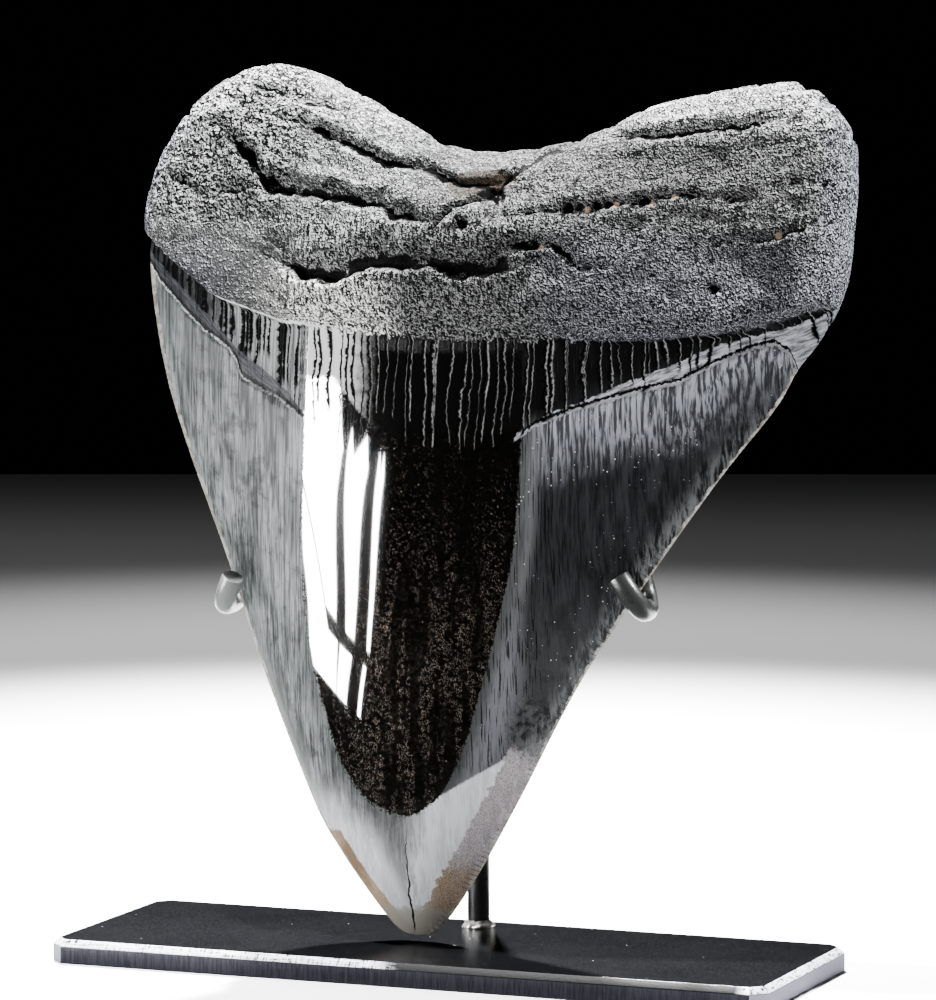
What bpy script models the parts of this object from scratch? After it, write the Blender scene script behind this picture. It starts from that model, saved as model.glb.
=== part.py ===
"""Megalodon tooth resting in a bent-rod cradle on a small steel base plate.

Frame: metres, +Z up. The tooth's convex face looks along -Y and +X is on its longer wing.
The origin is the centre of the base plate's underside.
"""

import math

import bmesh
import bpy
from mathutils import Matrix, Vector, noise

# Driving dimensions, in metres unless a name says otherwise.
GAP = 0.0003                     # kept between pieces that touch

PLATE_LENGTH = 0.108
PLATE_DEPTH = 0.0381
PLATE_THICKNESS = 0.0034
PLATE_TOP_CHAMFER = 0.0009
PLATE_CORNER_CHAMFER = 0.0022

ROD_DIAMETER = 0.003175
POST_ACROSS = -0.0006
POST_BACK = 0.0138
POST_TOP = 0.0590
CRADLE_BEND_RADIUS = 0.0038
BEAD_HEIGHT = 0.0012
BEAD_WIDTH = 0.0011

TOOTH_TIP = (-0.0041, -0.0010, 0.0042)
TOOTH_LEAN_DEGREES = 7.0
TOOTH_HEIGHT = 0.1244
TIP_DEPTH = 0.0092               # the convex face rises this much close to the tip
TIP_RISE = 0.015                 # how far up most of that rise takes
CROWN_SLOPE = 0.025              # further rise of the convex face for each metre up
CROWN_BACK_DEPTH = 0.0032
CROWN_BACK_RISE = 0.030
ENAMEL_STEP = 0.0005             # height of the wings' upper borders
ENAMEL_RUN = 0.0012              # how far down that step takes
LEVEL_WITHIN = 0.017             # this near the middle the crown runs on up without the step
STEP_BEYOND = 0.021              # and this far out the step is whole
LOBE_DEPTH = 0.0105
LOBE_BACK_DEPTH = 0.0068
LOBE_TAPER = 0.0022              # how much thinner the convex side is at the lobes' tops
TAPER_FROM = 0.098
ROOT_BULGE = 0.0075              # how far the root's middle stands out past its lobes
BULGE_PLACE = (0.003, 0.094)
BULGE_REACH = (0.026, 0.016)
ROOT_RADII = (0.011, 0.014)      # rounding of the root's convex side, at its sides and its top
ROOT_BACK_RADII = (0.010, 0.011)
LIP_START = -0.0012              # where the convex face starts to rise to the root, from its border
LIP_RUN = 0.0020                 # how far up the rise takes at the sides
MIDDLE_RUN = 0.0050              # and how much further down the middle
MIDDLE_PLACE = 0.002
MIDDLE_REACH = 0.020
BACK_ROOT_SLOPE = (-0.001, 0.008)   # where the flat face rises to the root, about its border
LUMP_HEIGHT = 0.0006
LUMPS_PER_METRE = (90.0, 150.0)
FRONT_LUMP_SEED = 3.0
BACK_LUMP_SEED = 9.0

TOOTH_COLUMNS = 36
TOOTH_ROWS = 34
COLUMN_CROWDING = 0.35           # how much closer columns stand towards the cutting edges
ROW_CROWDING = 0.40              # how much closer rows stand towards the tip and the top
FINE_ROWS_FROM = 0.60            # the convex face has finer rows above this share of its rows
BORDER_ROW = 0.795               # share up the sides of the row that follows the root's border
BORDER_SPREAD = 0.16             # share of the rows that bend along with it
NOTCH_FROM = 0.30                # share up the sides where rows start to bend into the notch
STRAIGHT_SIDES = 0.125           # share across, from each side, where rows bend less
STRAIGHT_TOP = 0.12              # share down from the top where rows follow the border less


# ---------------------------------------------------------------- shared shapes

def smooth_step(low, high, value):
    t = min(max((value - low) / (high - low), 0.0), 1.0)
    return t * t * (3.0 - 2.0 * t)


def quarter_round(distance, radius):
    """Height, from 0 to 1, of a rounded rim at a distance in from its edge."""
    t = 1.0 - min(max(distance / radius, 0.0), 1.0)
    return math.sqrt(1.0 - t * t)


def bell(value, centre, width):
    t = (value - centre) / width
    return math.exp(-t * t)


def distance_to_line(point, line):
    nearest = math.inf
    for start, end in zip(line, line[1:]):
        along = end - start
        share = min(max((point - start).dot(along) / along.length_squared, 0.0), 1.0)
        nearest = min(nearest, (point - start - share * along).length)
    return nearest


def height_on_line(x, line):
    """Height of a line that runs left to right, read at one place across."""
    for start, end in zip(line, line[1:]):
        if x <= end.x or end is line[-1]:
            share = min(max((x - start.x) / (end.x - start.x), 0.0), 1.0)
            return start.y + share * (end.y - start.y)


def flat_line(*places):
    return [Vector(place) for place in places]


class Outline:
    """A smooth line through a few points, read by its share of the length."""

    def __init__(self, points, steps=24):
        points = flat_line(*points)
        points = [2 * points[0] - points[1], *points, 2 * points[-1] - points[-2]]
        self.line = []
        for a, b, c, d in zip(points, points[1:], points[2:], points[3:]):
            for i in range(steps):
                t = i / steps
                bend = (2 * a - 5 * b + 4 * c - d) * t ** 2 + (3 * b - a - 3 * c + d) * t ** 3
                self.line.append(0.5 * (2 * b + (c - a) * t + bend))
        self.line.append(points[-2])
        self.marks = [0.0]
        for a, b in zip(self.line, self.line[1:]):
            self.marks.append(self.marks[-1] + (b - a).length)

    def at(self, share):
        target = share * self.marks[-1]
        low, high = 0, len(self.marks) - 1
        while high - low > 1:
            middle = (low + high) // 2
            if self.marks[middle] <= target:
                low = middle
            else:
                high = middle
        span = self.marks[high] - self.marks[low]
        return self.line[low].lerp(self.line[high], (target - self.marks[low]) / span)


def make_material(name, colour, roughness, metallic=0.0):
    material = bpy.data.materials.new(name)
    material.use_nodes = True
    shader = material.node_tree.nodes["Principled BSDF"]
    shader.inputs["Base Color"].default_value = (*colour, 1.0)
    shader.inputs["Roughness"].default_value = roughness
    shader.inputs["Metallic"].default_value = metallic
    material.diffuse_color = (*colour, 1.0)
    return material


def add_object(name, data, material, collection):
    data.materials.clear()
    data.materials.append(material)
    piece = bpy.data.objects.new(name, data)
    collection.objects.link(piece)
    return piece


# ---------------------------------------------------------------- tooth

# The tooth seen square on: (across, up) from its tip.
LEFT_SIDE = Outline([
    (0.0, 0.0), (-0.0031, 0.0010), (-0.0071, 0.0050), (-0.0125, 0.0115), (-0.0170, 0.0183),
    (-0.0251, 0.0352), (-0.0322, 0.0523), (-0.0396, 0.0689), (-0.0437, 0.0800),
    (-0.0465, 0.0930), (-0.0468, 0.1030), (-0.0450, 0.1100), (-0.0412, 0.1170),
    (-0.0358, 0.1224),
])
RIGHT_SIDE = Outline([
    (0.0, 0.0), (0.0034, 0.0012), (0.0087, 0.0089), (0.0146, 0.0200), (0.0232, 0.0374),
    (0.0324, 0.0519), (0.0423, 0.0663), (0.0502, 0.0766), (0.0532, 0.0820), (0.0568, 0.0870),
    (0.0597, 0.0940), (0.0604, 0.1020), (0.0606, 0.1090), (0.0600, 0.1145), (0.0570, 0.1190),
])
TOP_EDGE = Outline([
    (-0.0358, 0.1224), (-0.0285, TOOTH_HEIGHT), (-0.0214, 0.1231),
    (-0.0139, 0.1199), (-0.0071, 0.1162), (0.0, 0.1128), (0.0080, 0.1121), (0.0170, 0.1133),
    (0.0240, 0.1156), (0.0300, 0.1186), (0.0384, 0.1206), (0.0480, 0.1222), (0.0530, 0.1218),
    (0.0570, 0.1190),
])

# Where the rough root overhangs the crown, on the convex face and on the flat one.
ROOT_BORDER = flat_line(
    (-0.0470, 0.1000), (-0.0428, 0.0972), (-0.0320, 0.0897), (-0.0213, 0.0864), (0.0, 0.0843),
    (0.0200, 0.0847), (0.0349, 0.0851), (0.0472, 0.0869), (0.0578, 0.0907),
)
BACK_ROOT_BORDER = flat_line(
    (-0.0470, 0.0990), (-0.0300, 0.0905), (0.0, 0.0850), (0.0300, 0.0880), (0.0560, 0.0860),
)

# The upper border of the raised enamel wings, passing below the root's border in the middle.
WING_TOPS = flat_line(
    (-0.0480, 0.0965), (-0.0466, 0.0949), (-0.0446, 0.0925), (-0.0398, 0.0884),
    (-0.0358, 0.0853), (-0.0314, 0.0830), (-0.0297, 0.0812), (-0.0286, 0.0787),
    (-0.0253, 0.0771), (-0.0212, 0.0753), (-0.0170, 0.0725), (-0.0100, 0.0700),
    (0.0100, 0.0690), (0.0154, 0.0705), (0.0184, 0.0728), (0.0237, 0.0751),
    (0.0306, 0.0774), (0.0381, 0.0795), (0.0423, 0.0820), (0.0479, 0.0847),
    (0.0504, 0.0854), (0.0523, 0.0842), (0.0531, 0.0820), (0.0540, 0.0790),
)

# The root's furrows on the convex face: the line, its depth and its half width.
FURROWS = (
    (flat_line((-0.0295, 0.1120), (-0.0270, 0.1095), (-0.0225, 0.1066), (-0.0150, 0.1047),
               (-0.0040, 0.1030), (0.0050, 0.1005)), 0.0020, 0.0013),
    (flat_line((-0.0210, 0.1150), (-0.0160, 0.1133), (-0.0095, 0.1106), (-0.0013, 0.1078),
               (0.0090, 0.1052)), 0.0023, 0.0014),
    (flat_line((-0.0290, 0.1197), (-0.0210, 0.1178), (-0.0125, 0.1168)), 0.0010, 0.0012),
    (flat_line((-0.0410, 0.1084), (-0.0380, 0.1062), (-0.0326, 0.1038)), 0.0011, 0.0011),
    (flat_line((-0.0310, 0.1051), (-0.0257, 0.1057), (-0.0230, 0.1038)), 0.0011, 0.0011),
    (flat_line((-0.0208, 0.0942), (-0.0153, 0.0928), (-0.0100, 0.0922), (-0.0055, 0.0942),
               (0.0018, 0.0953), (0.0096, 0.0932), (0.0144, 0.0943)), 0.0018, 0.0013),
    (flat_line((0.0135, 0.0974), (0.0219, 0.0973), (0.0257, 0.0949)), 0.0011, 0.0011),
    (flat_line((0.0143, 0.1017), (0.0263, 0.1033), (0.0381, 0.1048), (0.0446, 0.1053)),
     0.0012, 0.0011),
    (flat_line((0.0199, 0.1125), (0.0243, 0.1136), (0.0400, 0.1140), (0.0478, 0.1146)),
     0.0012, 0.0012),
    (flat_line((0.0185, 0.1122), (0.0161, 0.1109), (0.0140, 0.1068), (0.0136, 0.1036)),
     0.0022, 0.0014),
    (flat_line((0.0450, 0.0987), (0.0514, 0.0995), (0.0585, 0.1040)), 0.0009, 0.0011),
)
PITS = (
    (Vector((0.0095, 0.1005)), 0.0016, 0.0012),
    (Vector((0.0090, 0.1050)), 0.0016, 0.0018),
    (Vector((0.0444, 0.0927)), 0.0014, 0.0011),
)
KNOB = (Vector((0.0100, 0.1010)), 0.0014, 0.0042)


def outline_point(across, up):
    """A place on the flat outline, from shares across the tooth and up from its tip.

    The rows are straight at the tip, follow the root's border and end on its two-lobed top.
    """
    notch = TOP_EDGE.at(across) - TOP_EDGE.at(0.0).lerp(TOP_EDGE.at(1.0), across)

    def unbent(share):
        straight = LEFT_SIDE.at(share).lerp(RIGHT_SIDE.at(share), across)
        return straight + smooth_step(NOTCH_FROM, 1.0, share) * notch

    border = unbent(BORDER_ROW)
    drop = height_on_line(border.x, ROOT_BORDER) - border.y
    drop *= bell(up, BORDER_ROW, BORDER_SPREAD) * smooth_step(0.0, STRAIGHT_TOP, 1.0 - up)
    drop *= min(1.0, across / STRAIGHT_SIDES, (1.0 - across) / STRAIGHT_SIDES)
    return unbent(up) + Vector((0.0, drop))


def rim(across, up, side_radius, top_radius):
    """Rounding of the root towards its sides and its two-lobed top."""
    width = (RIGHT_SIDE.at(up) - LEFT_SIDE.at(up)).length
    from_side = min(across, 1.0 - across) * width
    from_top = (1.0 - up) * TOOTH_HEIGHT
    return quarter_round(from_side, side_radius) * quarter_round(from_top, top_radius)


def lumps(place, seed):
    """Soft lumps of the rough root, between -1 and 1."""
    per_metre_across, per_metre_up = LUMPS_PER_METRE
    where = Vector((place.x * per_metre_across, place.y * per_metre_up, seed))
    return noise.noise(where) + 0.5 * noise.noise(where * 2.3)


def enamel_step(place):
    """1 on the enamel wings and down the middle, 0 above the wings' upper borders."""
    below = height_on_line(place.x, WING_TOPS) - place.y
    raised = smooth_step(0.0, ENAMEL_RUN, below)
    level = smooth_step(STEP_BEYOND, LEVEL_WITHIN, abs(place.x))
    return raised + (1.0 - raised) * level


def enamel_thickness(section):
    """The step's height at a place across, fading out towards the cutting edges."""
    return ENAMEL_STEP * min(1.0, 6.0 * section)


def carved(place):
    """Height that furrows, pits and the knob take from or add to the root."""
    height = 0.0
    for line, depth, half_width in FURROWS:
        away = distance_to_line(place, line)
        height -= depth * (0.75 * bell(away, 0.0, half_width) + 0.25 * bell(away, 0.0, 3 * half_width))
    for centre, depth, half_width in PITS:
        height -= depth * bell((place - centre).length, 0.0, half_width)
    centre, knob_height, half_width = KNOB
    return height + knob_height * bell((place - centre).length, 0.0, half_width)


def convex_depth(across, up, place):
    section = 1.0 - (2.0 * across - 1.0) ** 2
    rise = TIP_DEPTH * (1.0 - math.exp(-place.y / TIP_RISE)) + CROWN_SLOPE * place.y
    crown = rise * section + enamel_thickness(section) * enamel_step(place)
    bulge = ROOT_BULGE * bell(place.x, BULGE_PLACE[0], BULGE_REACH[0])
    bulge *= bell(place.y, BULGE_PLACE[1], BULGE_REACH[1])
    lobe = LOBE_DEPTH - LOBE_TAPER * smooth_step(TAPER_FROM, TOOTH_HEIGHT, place.y)
    root = lobe + bulge + LUMP_HEIGHT * lumps(place, FRONT_LUMP_SEED) + carved(place)
    root *= rim(across, up, *ROOT_RADII)
    above = place.y - height_on_line(place.x, ROOT_BORDER)
    run = LIP_RUN + MIDDLE_RUN * bell(place.x, MIDDLE_PLACE, MIDDLE_REACH)
    return crown + (root - crown) * smooth_step(LIP_START, LIP_START + run, above)


def flat_depth(across, up, place):
    section = 1.0 - (2.0 * across - 1.0) ** 2
    crown = CROWN_BACK_DEPTH * (1.0 - math.exp(-place.y / CROWN_BACK_RISE)) * section
    crown += enamel_thickness(section)
    lobe = LOBE_BACK_DEPTH - LOBE_TAPER / 2 * smooth_step(TAPER_FROM, TOOTH_HEIGHT, place.y)
    root = lobe + LUMP_HEIGHT * lumps(place, BACK_LUMP_SEED)
    root *= rim(across, up, *ROOT_BACK_RADII)
    above = place.y - height_on_line(place.x, BACK_ROOT_BORDER)
    return crown + (root - crown) * smooth_step(*BACK_ROOT_SLOPE, above)


def build_tooth(collection):
    """Two sheets of a grid joined at their rim, then every point moved to its place."""
    bm = bmesh.new()
    for side in (1.0, -1.0):
        bmesh.ops.reverse_faces(bm, faces=bm.faces)
        made = bmesh.ops.create_grid(
            bm, x_segments=TOOTH_COLUMNS, y_segments=TOOTH_ROWS, size=1.0)
        for vert in made["verts"]:
            on_rim = max(abs(vert.co.x), abs(vert.co.y)) > 0.9999
            vert.co.z = 0.0 if on_rim else side
            if vert.co.y < -0.9999:
                vert.co.x = 0.0
    bmesh.ops.remove_doubles(bm, verts=bm.verts, dist=0.0001)

    lowest = 2.0 * FINE_ROWS_FROM - 1.0
    fine = {
        edge
        for face in bm.faces
        if face.calc_center_median().z < -0.1 and face.calc_center_median().y > lowest
        for edge in face.edges
    }
    bmesh.ops.subdivide_edges(bm, edges=list(fine), cuts=1, use_grid_fill=True)

    lean = Matrix.Rotation(math.radians(-TOOTH_LEAN_DEGREES), 4, "X")
    stand = Matrix.Translation(TOOTH_TIP) @ lean
    for vert in bm.verts:
        t = 0.5 + 0.5 * vert.co.x
        across = t - COLUMN_CROWDING * math.sin(2.0 * math.pi * t) / (2.0 * math.pi)
        t = 0.5 + 0.5 * vert.co.y
        up = t - ROW_CROWDING * math.sin(2.0 * math.pi * t) / (2.0 * math.pi)
        place = outline_point(across, up)
        if vert.co.z < 0.0:
            depth = -convex_depth(across, up, place)
        elif vert.co.z > 0.0:
            depth = flat_depth(across, up, place)
        else:
            depth = 0.0
        vert.co = stand @ Vector((place.x, depth, place.y))
    bmesh.ops.triangulate(bm, faces=bm.faces)
    mesh = bpy.data.meshes.new("tooth")
    bm.to_mesh(mesh)
    bm.free()
    mesh.shade_smooth()
    material = make_material("fossil", (0.10, 0.10, 0.105), 0.35)
    return add_object("tooth", mesh, material, collection)


# ---------------------------------------------------------------- stand

def build_base_plate(steel, collection):
    """A flat bar cut to length, its corners clipped and its top edges ground off."""
    bm = bmesh.new()
    bmesh.ops.create_cube(bm, size=1.0)
    bmesh.ops.scale(bm, vec=(PLATE_LENGTH, PLATE_DEPTH, PLATE_THICKNESS), verts=bm.verts)
    bmesh.ops.translate(bm, vec=(0.0, 0.0, PLATE_THICKNESS / 2), verts=bm.verts)
    uprights = [e for e in bm.edges if abs(e.verts[0].co.z - e.verts[1].co.z) > GAP]
    bmesh.ops.bevel(bm, geom=uprights, offset=PLATE_CORNER_CHAMFER, segments=1,
                    profile=0.5, affect="EDGES", material=-1)
    top = [e for e in bm.edges if min(v.co.z for v in e.verts) > PLATE_THICKNESS - GAP]
    bmesh.ops.bevel(bm, geom=top, offset=PLATE_TOP_CHAMFER, segments=1,
                    profile=0.5, affect="EDGES", material=-1)
    mesh = bpy.data.meshes.new("base_plate")
    bm.to_mesh(mesh)
    bm.free()
    return add_object("base_plate", mesh, steel, collection)


def rounded_path(corners, radius, steps=5):
    """Points along straight runs whose corners are turned by arcs of one radius."""
    points = [corners[0]]
    for before, corner, after in zip(corners, corners[1:], corners[2:]):
        back = (before - corner).normalized()
        on = (after - corner).normalized()
        half = back.angle(on) / 2
        reach = radius / math.tan(half)
        centre = corner + (back + on).normalized() * (radius / math.sin(half))
        start = corner + back * reach - centre
        end = corner + on * reach - centre
        for i in range(steps + 1):
            points.append(centre + start.slerp(end, i / steps).normalized() * radius)
    points.append(corners[-1])
    return points


def add_rod(name, points, material, collection):
    curve = bpy.data.curves.new(name, "CURVE")
    curve.dimensions = "3D"
    curve.bevel_depth = ROD_DIAMETER / 2
    curve.bevel_resolution = 3
    curve.use_fill_caps = True
    spline = curve.splines.new("POLY")
    spline.points.add(len(points) - 1)
    for spot, point in zip(spline.points, points):
        spot.co = (*point, 1.0)
    spline.use_smooth = True
    return add_object(name, curve, material, collection)


def build_post(steel, collection):
    foot = PLATE_THICKNESS + GAP
    bm = bmesh.new()
    bmesh.ops.create_cone(bm, cap_ends=True, segments=32, radius1=ROD_DIAMETER / 2,
                          radius2=ROD_DIAMETER / 2, depth=POST_TOP - foot)
    mesh = bpy.data.meshes.new("post")
    bm.to_mesh(mesh)
    bm.free()
    mesh.shade_smooth()
    mesh.set_sharp_from_angle(angle=math.radians(40.0))
    post = add_object("post", mesh, steel, collection)
    post.location = (POST_ACROSS, POST_BACK, (foot + POST_TOP) / 2)
    return post


# Corners of the cradle rod's centre line, from each hook's cut end to the middle of its back.
LEFT_HOOK = (
    (-0.0328, -0.0007, 0.0545), (-0.0351, 0.0006, 0.0502), (-0.0363, 0.0092, 0.0500),
    (-0.0330, 0.0100, 0.0605),
)
RIGHT_HOOK = (
    (0.0256, 0.0004, 0.0566), (0.0289, 0.0006, 0.0519), (0.0273, 0.0092, 0.0512),
    (0.0240, 0.0098, 0.0612),
)


def build_bead(name, bottom, metal, collection):
    """A ring of braze around the post: its section is a low rounded hump, turned once."""
    inner = ROD_DIAMETER / 2 + GAP
    bm = bmesh.new()
    section = [(inner, bottom)]
    for step in range(4):
        angle = math.radians(30.0 * step)
        out = inner + BEAD_WIDTH * math.cos(angle)
        section.append((out, bottom + BEAD_HEIGHT * math.sin(angle)))
    verts = [bm.verts.new((out, 0.0, up)) for out, up in section]
    for a, b in zip(verts, verts[1:] + verts[:1]):
        bm.edges.new((a, b))
    mesh = bpy.data.meshes.new(name)
    bm.to_mesh(mesh)
    bm.free()
    piece = add_object(name, mesh, metal, collection)
    piece.location = (POST_ACROSS, POST_BACK, 0.0)
    turned = piece.modifiers.new("turned", "SCREW")
    turned.steps = turned.render_steps = 16
    turned.use_merge_vertices = True
    turned.merge_threshold = 0.00001
    turned.use_smooth_shade = True
    turned.use_normal_flip = True
    return piece


def build_cradle_rod(steel, collection):
    """One rod: a hook for each cutting edge and a run behind the tooth, over the post."""
    middle = (POST_ACROSS, POST_BACK, POST_TOP + GAP + ROD_DIAMETER / 2)
    corners = [Vector(c) for c in (*LEFT_HOOK, middle, *reversed(RIGHT_HOOK))]
    points = rounded_path(corners, CRADLE_BEND_RADIUS)
    return add_rod("cradle_rod", points, steel, collection)


for old in list(bpy.data.objects):
    bpy.data.objects.remove(old, do_unlink=True)
collection = bpy.data.collections.new("megalodon_tooth_on_stand")
bpy.context.scene.collection.children.link(collection)
steel = make_material("painted_steel", (0.02, 0.02, 0.022), 0.4)
build_tooth(collection)
build_base_plate(steel, collection)
build_post(steel, collection)
build_cradle_rod(steel, collection)
braze = make_material("bare_braze", (0.55, 0.53, 0.50), 0.3, metallic=1.0)
build_bead("foot_weld", PLATE_THICKNESS + GAP, braze, collection)
build_bead("top_weld", POST_TOP - BEAD_HEIGHT, braze, collection)
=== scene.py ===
import math

import bmesh
import bpy
import numpy as np
from mathutils import Matrix, Vector, noise


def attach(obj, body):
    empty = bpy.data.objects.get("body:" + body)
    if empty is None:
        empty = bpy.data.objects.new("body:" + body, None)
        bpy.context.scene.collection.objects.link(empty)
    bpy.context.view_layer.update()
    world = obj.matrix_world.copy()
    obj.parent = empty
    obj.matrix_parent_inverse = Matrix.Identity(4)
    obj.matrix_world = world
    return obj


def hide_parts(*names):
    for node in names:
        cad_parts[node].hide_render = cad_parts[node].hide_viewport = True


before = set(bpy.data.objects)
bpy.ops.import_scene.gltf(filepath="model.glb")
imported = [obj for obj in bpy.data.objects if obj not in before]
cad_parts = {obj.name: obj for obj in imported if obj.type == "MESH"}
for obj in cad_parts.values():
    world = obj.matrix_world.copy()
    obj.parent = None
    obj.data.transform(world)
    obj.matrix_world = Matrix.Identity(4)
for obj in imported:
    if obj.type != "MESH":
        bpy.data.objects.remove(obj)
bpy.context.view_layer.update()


# ---------------------------------------------------------------- the view
# A long lens a little above the stand and to its right, so the tooth's convex face is seen
# three-quarters on and the plate runs off to both sides.

VIEW_PLACE = (0.28787, -0.71859, 0.13903)
VIEW_TURN = (math.radians(84.65243), 0.0, math.radians(21.60988))

view_data = bpy.data.cameras.new("view")
view_data.lens = 198.0
view_data.sensor_width = 36.0
view = bpy.data.objects.new("view", view_data)
view.location = VIEW_PLACE
view.rotation_euler = VIEW_TURN
bpy.context.scene.collection.objects.link(view)
bpy.context.scene.camera = view


# ---------------------------------------------------------------- base plate
# A length of flat steel bar. Its corners are clipped and its top edges ground off on a belt,
# then it is painted satin black, thinly enough for the grinding to show on the front edge.

PLATE_LENGTH = 0.108
PLATE_DEPTH = 0.0381
PLATE_THICKNESS = 0.0034
PLATE_TOP_CHAMFER = 0.0009
PLATE_CORNER_CHAMFER = 0.0022
PLATE_EDGE_ROUND = 0.00012
UPRIGHT = 0.001                  # an edge that rises by more than this stands upright
LEVEL = 0.0001                   # points this near to the top count as on it
SHARP_ANGLE = math.radians(50.0)   # edges that turn more than this stay crisp
GAP = 0.0003                     # the solids keep this between pieces that touch
PAINT_BLACK = (0.0012, 0.0012, 0.0014)
PAINT_DUST = (0.0100, 0.0104, 0.0115)
BARE_STEEL = (0.78, 0.78, 0.85)


def node(tree, kind, sockets=None, **settings):
    """Adds a node. Each socket takes a value, or the output socket that feeds it."""
    made = tree.nodes.new(kind)
    for name, value in settings.items():
        setattr(made, name, value)
    for key, value in (sockets or {}).items():
        if isinstance(value, bpy.types.NodeSocket):
            tree.links.new(value, made.inputs[key])
        elif value is not None:
            made.inputs[key].default_value = value
    return made


def maths(tree, operation, a, b=None):
    return node(tree, "ShaderNodeMath", {0: a, 1: b}, operation=operation).outputs[0]


def product(tree, a, b):
    return maths(tree, "MULTIPLY", a, b)


def window(tree, value, low, high, to_low=0.0, to_high=1.0):
    """Runs smoothly from one value to another as the input passes from low to high."""
    sockets = {"Value": value, "From Min": low, "From Max": high,
               "To Min": to_low, "To Max": to_high}
    return node(tree, "ShaderNodeMapRange", sockets,
                interpolation_type="SMOOTHSTEP").outputs[0]


def paint(tree, mask, under, over):
    """Lays one colour over another where the mask is 1."""
    colours = [(*c, 1.0) if isinstance(c, tuple) else c for c in (under, over)]
    return node(tree, "ShaderNodeMix", {0: mask, 6: colours[0], 7: colours[1]},
                data_type="RGBA").outputs[2]


def grain(tree, where, scale, detail=2.0, roughness=0.5):
    sockets = {"Vector": where, "Scale": scale, "Detail": detail, "Roughness": roughness}
    return node(tree, "ShaderNodeTexNoise", sockets).outputs["Fac"]


def stretched(tree, where, scale):
    return node(tree, "ShaderNodeMapping", {"Vector": where, "Scale": scale}).outputs[0]


def in_millimetres(tree):
    place = node(tree, "ShaderNodeTexCoord").outputs["Object"]
    return stretched(tree, place, (1000.0, 1000.0, 1000.0))


def new_effect(name, sockets, results):
    """An empty node group with named inputs and outputs."""
    group = bpy.data.node_groups.new(name, "ShaderNodeTree")
    for label, kind, value in sockets:
        socket = group.interface.new_socket(label, in_out="INPUT", socket_type=kind)
        if value is not None:
            socket.default_value = value
    for label in results:
        group.interface.new_socket(label, in_out="OUTPUT", socket_type="NodeSocketFloat")
    return group, group.nodes.new("NodeGroupInput"), group.nodes.new("NodeGroupOutput")


def use_effect(tree, effect, **sockets):
    placed = node(tree, "ShaderNodeGroup", node_tree=effect)
    for label, value in sockets.items():
        key = label.replace("_", " ")
        if isinstance(value, bpy.types.NodeSocket):
            tree.links.new(value, placed.inputs[key])
        else:
            placed.inputs[key].default_value = value
    return placed.outputs[0] if len(placed.outputs) == 1 else placed.outputs


def build_specks():
    """Small round specks, a few of a dense field of cells, each of its own size."""
    group, into, out = new_effect(
        "specks",
        (("Where", "NodeSocketVector", None), ("Spacing", "NodeSocketFloat", 1.0),
         ("Size", "NodeSocketFloat", 0.1), ("Share", "NodeSocketFloat", 0.5)),
        ("Mask",))
    per_unit = maths(group, "DIVIDE", 1.0, into.outputs["Spacing"])
    cells = node(group, "ShaderNodeTexVoronoi",
                 {"Vector": into.outputs["Where"], "Scale": per_unit})
    chance = node(group, "ShaderNodeSeparateColor", {0: cells.outputs["Color"]})
    kept = maths(group, "LESS_THAN", chance.outputs[0], into.outputs["Share"])
    reach = maths(group, "MULTIPLY", into.outputs["Size"],
                  maths(group, "ADD", chance.outputs[1], 0.4))
    inner = maths(group, "MULTIPLY", reach, 0.5)
    sockets = {"Value": cells.outputs["Distance"], "From Min": reach, "From Max": inner}
    dot = node(group, "ShaderNodeMapRange", sockets).outputs[0]
    group.links.new(maths(group, "MULTIPLY", dot, kept), out.inputs[0])
    return group


def new_finish(name):
    material = bpy.data.materials.new(name)
    material.use_nodes = True
    return material, material.node_tree, material.node_tree.nodes["Principled BSDF"]


def bump(tree, shader, height, distance):
    made = node(tree, "ShaderNodeBump", {"Height": height, "Distance": distance})
    tree.links.new(made.outputs[0], shader.inputs["Normal"])


specks = build_specks()


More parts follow.
